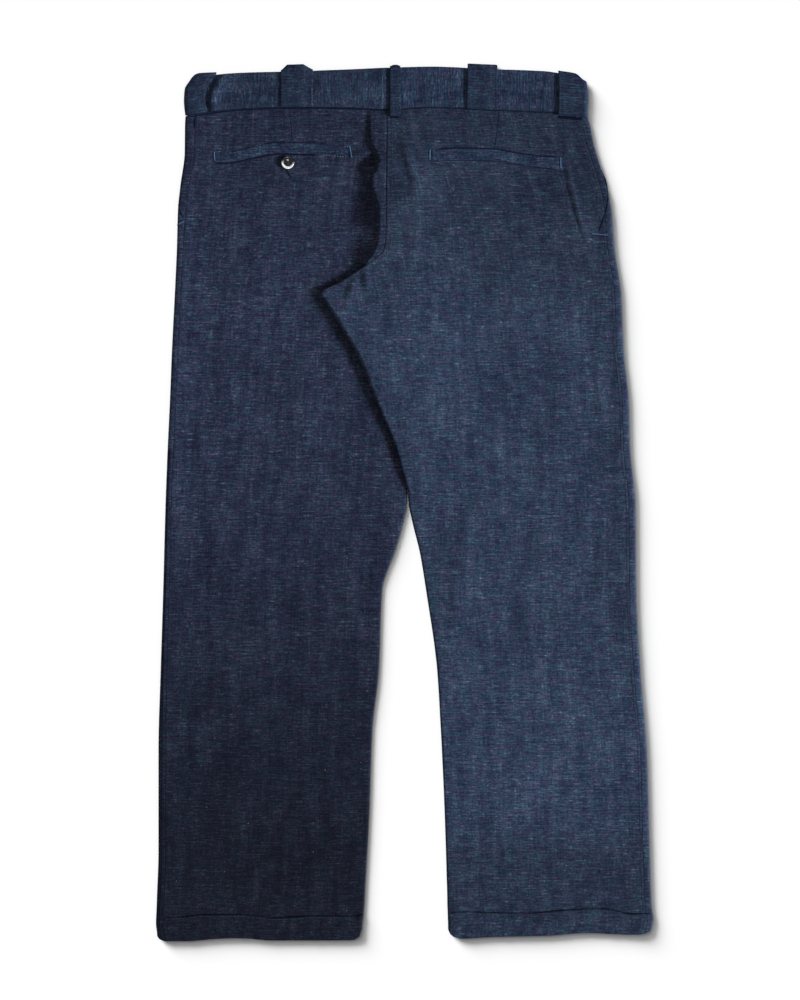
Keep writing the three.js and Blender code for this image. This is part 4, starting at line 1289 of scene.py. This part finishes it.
# Button: its middle and radius, the radius of its holes and their distance from its middle
# lines, its bevel, and the height of its dished floor
BUTTON_X = -128.2
BUTTON_Y = 374
BUTTON_RADIUS = 7.4
BUTTON_HOLE = 0.85
BUTTON_SPREAD = 1.5
BUTTON_BEVEL = 0.12
BUTTON_FLOOR = 1.15

# Side view of the button, from its middle out and back under it
BUTTON_PROFILE = (
    (0.01, 1.0), (1, 1.03), (2, 1.12), (3, 1.3), (4, 1.62), (4.9, 2.1), (5.5, 2.5), (6.1, 2.62),
    (6.7, 2.5), (7.2, 2.05), (7.4, 1.5), (7.3, 0.9), (6.9, 0.4), (6.2, 0.1), (4.0, 0.0), (0.01, 0.0),
)


def lathe(profile, sides):
    """Points and faces of a closed solid turned about Z, its poles drawn to a point"""
    spots = np.concatenate([
        np.insert(circle(sides) * radius, 2, z, axis=1) for radius, z in profile])
    index, tube = tube_faces(len(profile), sides)
    around = tube[:, [0, 3, 2, 1]].tolist()
    return spots, [*around, index[0].tolist(), index[-1][::-1].tolist()]


def plain_object(name, spots, faces):
    """Object of points in millimetres and faces"""
    mesh = bpy.data.meshes.new(name)
    mesh.from_pydata((spots * MM).tolist(), [], faces)
    mesh.update()
    made = bpy.data.objects.new(name, mesh)
    bpy.context.scene.collection.objects.link(made)
    return made


def make_button(ground):
    """Four-hole button, turned and then drilled"""
    spots, faces = lathe(BUTTON_PROFILE, 72)
    lift = np.array([BUTTON_X, BUTTON_Y, ground])
    body = plain_object("horn_button", spots + lift, faces)
    drills = []
    for sx, sy in ((-1, -1), (1, -1), (1, 1), (-1, 1)):
        pin, pin_faces = lathe(((BUTTON_HOLE, -1), (BUTTON_HOLE, 4)), 20)
        at = lift + np.array([sx * BUTTON_SPREAD, sy * BUTTON_SPREAD, 0])
        drills.append(plain_object("drill", pin + at, pin_faces))
        cut = body.modifiers.new("hole", "BOOLEAN")
        cut.operation = "DIFFERENCE"
        cut.solver = "EXACT"
        cut.object = drills[-1]
    bevel = body.modifiers.new("soft edges", "BEVEL")
    bevel.width = BUTTON_BEVEL * MM
    bevel.segments = 2
    bevel.limit_method = "ANGLE"
    shaped = body.evaluated_get(bpy.context.evaluated_depsgraph_get())
    body.data = bpy.data.meshes.new_from_object(shaped)
    body.modifiers.clear()
    for drill in drills:
        bpy.data.objects.remove(drill)
    body.data.materials.clear()
    body.data.materials.append(bpy.data.materials["polished_horn"])
    body.data.polygons.foreach_set("use_smooth", [True] * len(body.data.polygons))
    bpy.data.collections["garment"].objects.link(body)
    bpy.data.collections["polished"].objects.link(body)
    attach(body, BODY)
    return body


def keep_as_piece(made, slot, *nodes):
    """Hides the solids that the piece stands for; the piece and its finish slot are not used"""
    if nodes:
        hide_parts(*nodes)


def surface_of(*nodes):
    """Surface of the cloth pieces that stand for these solids"""
    return Surface(*[bpy.data.objects[node + "_cloth"] for node in nodes])


def sewing_piece(name, finish, spots, faces):
    """Piece of thread or of painted shade lines that lies on the cloth and stands for no solid"""
    keep_as_piece(mesh_object(name, spots, faces, finish), "cloth")


def colour_setting(label, description, *default):
    """Field for a colour"""
    return bpy.props.FloatVectorProperty(
        name=label, description=description, subtype="COLOR", default=default, min=0, max=1)


def length_setting(label, description, default, least, precision=4):
    """Field for a length in metres"""
    return bpy.props.FloatProperty(
        name=label, description=description, default=default, min=least, unit="LENGTH",
        precision=precision)


def share_setting(label, description, default):
    """Field for a share from 0 to 1"""
    return bpy.props.FloatProperty(
        name=label, description=description, default=default, min=0, max=1, subtype="FACTOR")


def strength_setting(label, description, default):
    """Field for a strength, which has no upper end"""
    return bpy.props.FloatProperty(name=label, description=description, default=default, min=0)


class TrousersCloth(bpy.types.PropertyGroup):
    """Sizes and colours of the cloth"""

    grid: length_setting("Grid", "Distance between the cloth's sections", 0.003, 0.001)
    slub: length_setting("Slub length", "Length of the thick places in the weft", 0.026, 0.002)
    pitch: length_setting(
        "Thread pitch", "Distance from one warp thread to the next but one", 0.0011, 0.0003)
    bump: share_setting("Relief", "Strength of the weave's relief", 0.45)
    sheen: share_setting("Sheen", "Share of soft sheen", 0.02)
    # The left leg's colour is darker than the right leg's: painted shade, standing in for the light
    # falling off towards the left
    left: colour_setting("Left leg", "Colour of the left leg", 0.0226, 0.0308, 0.0618)
    right: colour_setting("Right leg", "Colour of the right leg", 0.0296, 0.0448, 0.0820)
    band: colour_setting("Waistband", "Colour of the waistband", 0.0236, 0.0376, 0.0730)
    loops: colour_setting("Loops", "Colour of the belt loops", 0.0157, 0.0254, 0.0515)
    welts: colour_setting("Welts", "Colour of the back pockets' welts", 0.0206, 0.0328, 0.0655)
    violet: colour_setting("Violet cast", "Tint of the redder places", 1.0, 0.82, 0.95)
    teal: colour_setting("Teal cast", "Tint of the greener places", 0.78, 1.0, 0.98)
    nep: colour_setting("Neps", "Colour of the pale flecks", 0.42, 0.50, 0.55)


class TrousersSewing(bpy.types.PropertyGroup):
    """Sizes and colours of the sewing"""

    pitch: length_setting("Stitch pitch", "Distance from stitch to stitch", 0.0030, 0.001)
    length: length_setting("Stitch length", "Length of a stitch on the cloth", 0.0023, 0.001)
    radius: length_setting("Thread radius", "Half of the thread's width", 0.00024, 0.0001, 5)
    navy: colour_setting("Seam thread", "Colour of the seams' thread", 0.020, 0.034, 0.075)
    blue: colour_setting("Tack thread", "Colour of the bar tacks' thread", 0.062, 0.135, 0.265)
    pale: colour_setting("Pale thread", "Colour of the worn thread", 0.090, 0.150, 0.250)
    # Painted shade: colour of the dark lines laid where the pockets' openings, seams, darts and the loops'
    # feet lie in shade
    shadow: colour_setting(
        "Openings", "Colour of the cloth inside the pockets' openings", 0.0045, 0.0085, 0.0230)


class TrousersButton(bpy.types.PropertyGroup):
    """Colours of the button"""

    dark: colour_setting("Horn", "Colour of the dark horn", 0.004, 0.005, 0.007)
    brown: colour_setting("Horn grain", "Colour of the horn's browner grain", 0.012, 0.010, 0.010)
    # The pale rim is partly the horn's grain and partly painted highlight on the rim's lower side
    cream_and_highlight: colour_setting("Pale rim", "Colour of the pale streak in the rim", 0.56, 0.59, 0.55)


class TrousersStage(bpy.types.PropertyGroup):
    """Floor, camera and lights"""

    floor: colour_setting("Floor", "Colour of the floor", 0.90, 0.90, 0.90)
    view_height: length_setting(
        "View height", "Height of the floor area that the camera sees", 1.100, 0.1)
    lens: bpy.props.FloatProperty(
        name="Lens", description="Focal length of the camera in millimetres", default=100, min=20,
        unit="CAMERA")
    key: strength_setting("Key light", "Strength of the light from the right on the cloth", 5.2)
    drop: strength_setting(
        "Floor light", "Strength of the light from the upper left on the floor", 6.2)
    fill: strength_setting(
        "Fill light", "Strength of the wide light from above on the cloth", 0.61)
    glint: strength_setting("Glint", "Strength of the light that the button reflects", 1.5)
    sky: strength_setting("Surroundings", "Strength of the even light all round", 0.20)


def distant_light(name, bearing, height, spread, strength, colour, lit):
    """Wide light far off, its bearing and height in degrees, that falls on the lit pieces"""
    data = bpy.data.lights.new(name, "SUN")
    data.energy = strength
    data.angle = math.radians(spread)
    data.color = colour
    made = bpy.data.objects.new(name, data)
    away = math.cos(math.radians(height))
    place = Vector((
        away * math.cos(math.radians(bearing)), away * math.sin(math.radians(bearing)),
        math.sin(math.radians(height))))
    made.location = place * 2
    made.rotation_euler = place.to_track_quat("Z", "Y").to_euler()
    bpy.context.scene.collection.objects.link(made)
    made.light_linking.receiver_collection = lit


# Floor: its size in metres, and how far under the cloth it lies
FLOOR_SIZE = 40
FLOOR_DROP = 0.4

# Middle of the camera's view
VIEW_X = -4.95
VIEW_Y = 3.3
WHITE = (1.0, 1.0, 1.0)


class TROUSERS_OT_stage(bpy.types.Operator):
    """Makes the floor, the lights, the surroundings and the camera"""

    bl_idname = "trousers.stage"
    bl_label = "Stage"

    def execute(self, context):
        look = context.scene.trousers_stage
        bpy.ops.mesh.primitive_plane_add(size=FLOOR_SIZE, location=(0, 0, -FLOOR_DROP * MM))
        floor = context.object
        floor.name = "floor"
        floor_material(look)
        floor.data.materials.append(bpy.data.materials["pale_paper"])

        data = bpy.data.cameras.new("camera")
        data.lens = look.lens
        data.sensor_width = 36
        data.clip_end = 50
        camera = bpy.data.objects.new("camera", data)
        away = look.view_height * data.lens / data.sensor_width
        camera.location = (VIEW_X * MM, VIEW_Y * MM, away + LOW_Z * MM)
        context.scene.collection.objects.link(camera)
        context.scene.camera = camera

        stage, garment, polished = [
            bpy.data.collections.new(name) for name in ("stage", "garment", "polished")]
        stage.objects.link(floor)
        distant_light("key", -10, 25, 17, look.key, (0.885, 0.945, 0.985), garment)
        distant_light("fill", 0, 90, 150, look.fill, (1.0, 0.76, 0.59), garment)
        distant_light("floor_light", 135.5, 20.5, 29, look.drop, WHITE, stage)
        distant_light("floor_light_high", 135.5, 46, 50, look.drop * 0.17, WHITE, stage)
        distant_light("glint", -92, 70, 20, look.glint, WHITE, polished)
        world = bpy.data.worlds.new("surroundings")
        world.use_nodes = True
        background = world.node_tree.nodes["Background"]
        background.inputs["Color"].default_value = rgba(WHITE)
        background.inputs["Strength"].default_value = look.sky
        context.scene.world = world
        context.scene.view_settings.view_transform = "Standard"
        return {"FINISHED"}


class TROUSERS_OT_finishes(bpy.types.Operator):
    """Makes the materials of the cloth, thread and button"""

    bl_idname = "trousers.finishes"
    bl_label = "Finishes"

    def execute(self, context):
        look = context.scene.trousers_cloth
        sewing = context.scene.trousers_sewing
        # Painted shade and light: the legs' falloffs darken and lighten each leg along its length, the
        # left one most towards its hem, standing in for the light falling off towards the lower left
        cloth_material("cloth_left", look.left, look, 11.0, [
            (250, 400, 0.22), (150, -420, 0.66)], 1.1)
        cloth_material("cloth_right", look.right, look, 47.0, [
            (170, 330, 0.28), (330, 410, 0.08), (-120, -230, -0.14), (-325, -400, 0.34)])
        cloth_material("cloth_band", look.band, look, 131.0, [(420, 480, 0.18)], 1.1)
        cloth_material("cloth_loops", look.loops, look, 171.0)
        cloth_material("cloth_welts", look.welts, look, 211.0, contrast=1.15)
        thread_material("navy_thread", sewing.navy)
        thread_material("blue_thread", sewing.blue)
        thread_material("pale_thread", sewing.pale)
        # The same shader gives the dark lines of painted shade
        thread_material("pocket_shadow", sewing.shadow, ply=1.4, shine=0.03)
        horn_material(context.scene.trousers_button)
        return {"FINISHED"}


class TROUSERS_OT_legs(bpy.types.Operator):
    """Makes the four leg panels"""

    bl_idname = "trousers.legs"
    bl_label = "Leg panels"

    def execute(self, context):
        grid = context.scene.trousers_cloth.grid / MM
        for node, section, under, flat, area in (
            ("front_left", front_left, "floor", (0.31, 0.98), 0.27),
            ("front_right", front_right, "floor", (0.34, 0.97), 0.28),
            ("back_left", back_left, "front_left_cloth", (0.34, 0.98), 0.27),
            ("back_right", back_right, "front_right_cloth", (0.36, 0.97), 0.27),
        ):
            part, side = node.split("_")
            is_back = part == "back"
            spacing = grid if is_back else grid * FRONT_SPACING
            made = panel_shell(node + "_cloth", side, section, spacing, is_back)
            keep_as_piece(made, "cloth", node)
        return {"FINISHED"}


class TROUSERS_OT_waistband(bpy.types.Operator):
    """Makes the waistband"""

    bl_idname = "trousers.waistband"
    bl_label = "Waistband"

    def execute(self, context):
        made = waistband_shell()
        keep_as_piece(made, "band_cloth", "waistband")
        return {"FINISHED"}


class TROUSERS_OT_loops(bpy.types.Operator):
    """Makes the belt loops"""

    bl_idname = "trousers.loops"
    bl_label = "Belt loops"

    def execute(self, context):
        for row in LOOPS:
            made = belt_loop_shell(row)
            keep_as_piece(made, "band_cloth", row["name"])
        return {"FINISHED"}


class TROUSERS_OT_welts(bpy.types.Operator):
    """Makes the welts of the back pockets"""

    bl_idname = "trousers.welts"
    bl_label = "Pocket welts"

    def execute(self, context):
        for side, rows in (("left", WELT_LEFT), ("right", WELT_RIGHT)):
            made = welt_shell("welt_" + side + "_cloth", rows, surface_of("back_" + side))
            keep_as_piece(made, "cloth", "welt_" + side)
        return {"FINISHED"}


# Painted shade: narrow dark lines laid where openings, folds, seams, darts and the feet of the loops lie
# in shade: width, height, and where they run
SHADE_LINES = (
    # edges of the welts
    (0.7, 0.3, ((-158, 394), (-142, 396.4), (-100, 396), (-84, 395))),
    (1.7, 0.5, ((-207, 373.4), (-188, 374.2), (-163, 379.6), (-142, 383.2), (-112, 383), (-96, 382.2))),
    (1.2, 0.4, ((36, 388.4), (52, 390), (98, 389.2), (122, 385.2), (148, 381.8), (168, 380.6))),
    (0.9, 0.3, ((32, 374.7), (52, 375.6), (98, 376), (122, 372), (148, 368.4), (168, 366.4))),
    # outseams
    (2.3, 0.7, [(outseam_left(y), y) for y in range(424, 360, -8)]),
    (1.3, 0.4, [(outseam_left(y), y) for y in range(360, -476, -12)]),
    (0.9, 0.3, [(outseam_left(y) - 3.6, y) for y in range(60, -476, -12)]),
    (0.6, 0.2, [(outseam_right(y), y) for y in range(292, 40, -12)]),
    # mouths of the front pockets at the sides
    (1.5, 0.4, ((216.5, 366), (221.5, 354), (223.4, 341), (222.4, 326), (218.6, 312), (213.6, 299))),
    (1.4, 0.4, ((-248.4, 330), (-247.6, 324), (-245.2, 318), (-242.4, 312.4))),
    # hem and darts
    (1.2, 0.35, [(x, level("right", HEM_TOP + 0.5, x)) for x in range(216, 272, 5)]),
    (0.7, 0.2, ((104.2, 431), (102.4, 414), (99.4, 391))),
    (0.6, 0.15, ((-126.5, 433), (-124.8, 416), (-122.5, 397))),
    # waist seam and feet of the loops
    (1.5, 0.4, [(x, waist_seam(x) - 1.3) for x in range(-236, -19, 8)]),
    (1.0, 0.3, [(x, waist_seam(x) - 1.2) for x in range(-2, 196, 8)]),
    (2.6, 0.6, ((-16.4, 423.8), (-10, 423.4), (-4.2, 423.8))),
    (3.4, 0.7, ((168, 424.6), (184, 422.8), (197, 422))),
)


class TROUSERS_OT_shade_lines(bpy.types.Operator):
    """Makes the painted shade lines of openings, darts, deep seams and the loops' feet"""

    bl_idname = "trousers.openings"
    bl_label = "Pocket openings"

    def execute(self, context):
        surface = surface_of("back_left", "back_right", "front_left", "front_right")
        parts = [cord_mesh(through(path, 60), surface, wide, high) for wide, high, path in SHADE_LINES]
        sewing_piece("painted_shade_lines", "pocket_shadow", *join_meshes(parts))
        return {"FINISHED"}


# Rows of stitches: their distances from the seams and edges that they follow
SEAT_INSET = 1.6
SEAT_ROWS = 4
SIDE_INSET = 2.2
HEM_INSET = 1.8
WELT_INSET = 1.4
LOOP_INSET = 2.0

# How far from the middle the loops' sides still lie on the back
LOOP_REACH = 196


def seam_paths():
    """Paths of the rows of stitches, each with the thread that sews it"""
    def across(start, end, height):
        return [(x, height(x)) for x in np.linspace(start, end, 60)]

    def hem(side):
        return lambda x: level(side, HEM_TOP - HEM_INSET, np.array([x]))[0]

    low_left = curve(WELT_LEFT, "x", "low")
    low_right = curve(WELT_RIGHT, "x", "low")
    seat = np.arange(430, 246, -4.0)
    return [
        ("navy", [(edge(y) + SEAT_INSET, y) for y in seat]),
        ("navy", [(edge(y) + SEAT_INSET + SEAT_ROWS, y) for y in seat if y > 262]),
        ("navy", [(outseam_left(y) + SIDE_INSET, y) for y in np.arange(428, 150, -12.0)]),
        ("navy", [(outseam_right(y) - SIDE_INSET, y) for y in np.arange(428, -470, -12.0)]),
        ("navy", across(-262, -54, hem("left"))),
        ("navy", across(54, 262, hem("right"))),
        ("navy", across(-234, 193, lambda x: waist_seam(x) + 2.4)),
        ("navy", across(-228, 190, lambda x: waist_top(x) - 2.6)),
        ("pale", [(-24.6, y) for y in np.linspace(435, 474, 12)]),
        ("pale", [(-101.6, y) for y in np.linspace(437, 457, 8)]),
        ("pale", [(-90, 382.8), (-78, 382), (-62, 380)]),
        ("pale", [(-90, 382.2), (-78, 381.4), (-62, 379.4)]),
        ("navy", across(-205, -98, lambda x: low_left(x) - WELT_INSET)),
        ("navy", across(30, 169, lambda x: low_right(x) - WELT_INSET)),
        ("pale", across(32, 66, lambda x: low_right(x) - 1.5)),
        ("pale", [(-163, 393.2), (-150, 394.8)]),
        ("blue", [(-67, 391.6), (-60, 392.2)]),
    ]


def loop_paths():
    """Paths of the stitches along both sides of the belt loops that lie on the back"""
    places = [x for row in LOOPS for x in (row["left"] + LOOP_INSET, row["right"] - LOOP_INSET)]
    return [[(x, y) for y in np.linspace(waist_seam(x) + 3, waist_top(x) - 3, 12)]
            for x in places if abs(x) < LOOP_REACH]


# How far the bar tacks' thread stands out, and where they are
TACK_LIFT = 0.4
TACKS = table(
    "x y angle length",
    (-209, 381, 94, 9.5), (-59.3, 386, 100, 13), (27.8, 382, 89, 10.5), (171.6, 374, 91, 11),
    (214.4, 295.2, -6, 17), (-246, 307.6, 24, 9),
)


class TROUSERS_OT_sewing(bpy.types.Operator):
    """Sews the rows of stitches and the bar tacks"""

    bl_idname = "trousers.sewing"
    bl_label = "Sewing"

    def execute(self, context):
        look = context.scene.trousers_sewing
        pitch = look.pitch / MM
        length = look.length / MM
        surface = surface_of(
            "back_left", "back_right", "front_left", "front_right", "waistband", "welt_left",
            "welt_right", *[row["name"] for row in LOOPS])
        pairs = {"navy": [], "pale": [], "blue": []}
        for number, (thread, path) in enumerate(seam_paths()):
            pairs[thread] += running_stitches(path, pitch, length, number)
        for path in loop_paths():
            pairs["navy"] += running_stitches(path, pitch, length, 90)
        for row in TACKS:
            pairs["blue"] += bar_tack((row["x"], row["y"]), row["angle"], row["length"])
        for thread, ends in pairs.items():
            lift = TACK_LIFT if thread == "blue" else 0
            sewing_piece(thread + "_stitches", thread + "_thread",
                         *stitch_mesh(ends, surface, look.radius / MM, lift))
        return {"FINISHED"}


class TROUSERS_OT_button(bpy.types.Operator):
    """Makes the button with its thread, and the sewn buttonhole under it"""

    bl_idname = "trousers.button"
    bl_label = "Button"

    def execute(self, context):
        surface = surface_of("back_left", "welt_left")
        ground = surface.height(BUTTON_X, BUTTON_Y, BUTTON_RADIUS) + SEAM
        keep_as_piece(make_button(ground), "horn", "button")

        reach = BUTTON_SPREAD + 0.3
        rows = [BUTTON_Y + side * BUTTON_SPREAD + shift for side in (-1, 1) for shift in (-0.35, 0, 0.35)]
        pairs = [((BUTTON_X - reach, y), (BUTTON_X + reach, y)) for y in rows]
        sewing_piece("button_thread", "navy_thread",
                     *stitch_mesh(pairs, Bridge(ground + BUTTON_FLOOR), 0.3))

        # The buttonhole's slit is a dark cord of painted shade
        slit = through([(-129.4, 367), (-127.2, 361.4), (-123.4, 356)], 20)
        sewing_piece("buttonhole", "pocket_shadow", *cord_mesh(slit, surface, 1.8, 0.4, taper=1.5))
        pairs = []
        for spot, after in zip(slit[:-1], slit[1:]):
            along = (after - spot) / np.linalg.norm(after - spot)
            side = np.array([-along[1], along[0]])
            pairs.append((spot + side * 0.6, spot + side * 1.7))
            pairs.append((spot - side * 0.6, spot - side * 1.7))
        sewing_piece("buttonhole_thread", "navy_thread", *stitch_mesh(pairs, surface, 0.2))
        return {"FINISHED"}


class Bridge:
    """Level ground for threads that span from hole to hole"""

    def __init__(self, height):
        self.level = height

    def at(self, x, y):
        return self.level, Vector((0, 0, 1))


class TROUSERS_PT_panel(bpy.types.Panel):
    """Steps that make the trousers, with their sizes and colours"""

    bl_idname = "TROUSERS_PT_panel"
    bl_label = "Baker trousers"
    bl_space_type = "VIEW_3D"
    bl_region_type = "UI"
    bl_category = "Trousers"

    def draw(self, context):
        layout = self.layout
        for group in GROUPS:
            box = layout.box()
            box.label(text=group.__doc__)
            for name in group.__annotations__:
                box.prop(getattr(context.scene, GROUPS[group]), name)
        for operator in OPERATORS:
            layout.operator(operator.bl_idname)


GROUPS = {
    TrousersCloth: "trousers_cloth",
    TrousersSewing: "trousers_sewing",
    TrousersButton: "trousers_button",
    TrousersStage: "trousers_stage",
}
OPERATORS = (
    TROUSERS_OT_stage,
    TROUSERS_OT_finishes,
    TROUSERS_OT_legs,
    TROUSERS_OT_waistband,
    TROUSERS_OT_loops,
    TROUSERS_OT_welts,
    TROUSERS_OT_shade_lines,
    TROUSERS_OT_sewing,
    TROUSERS_OT_button,
)


def register():
    """Adds the groups, the steps and the panel to Blender"""
    for group, name in GROUPS.items():
        bpy.utils.register_class(group)
        setattr(bpy.types.Scene, name, bpy.props.PointerProperty(type=group))
    for made in (*OPERATORS, TROUSERS_PT_panel):
        bpy.utils.register_class(made)


def unregister():
    """Takes the panel, the steps and the groups out again"""
    for made in (TROUSERS_PT_panel, *reversed(OPERATORS)):
        bpy.utils.unregister_class(made)
    for group, name in GROUPS.items():
        delattr(bpy.types.Scene, name)
        bpy.utils.unregister_class(group)


def main():
    """Makes everything in order"""
    register()
    bpy.ops.trousers.stage()
    bpy.ops.trousers.finishes()
    bpy.ops.trousers.legs()
    bpy.ops.trousers.waistband()
    bpy.ops.trousers.loops()
    bpy.ops.trousers.welts()
    bpy.ops.trousers.openings()
    bpy.ops.trousers.sewing()
    bpy.ops.trousers.button()


if __name__ == "__main__":
    main()
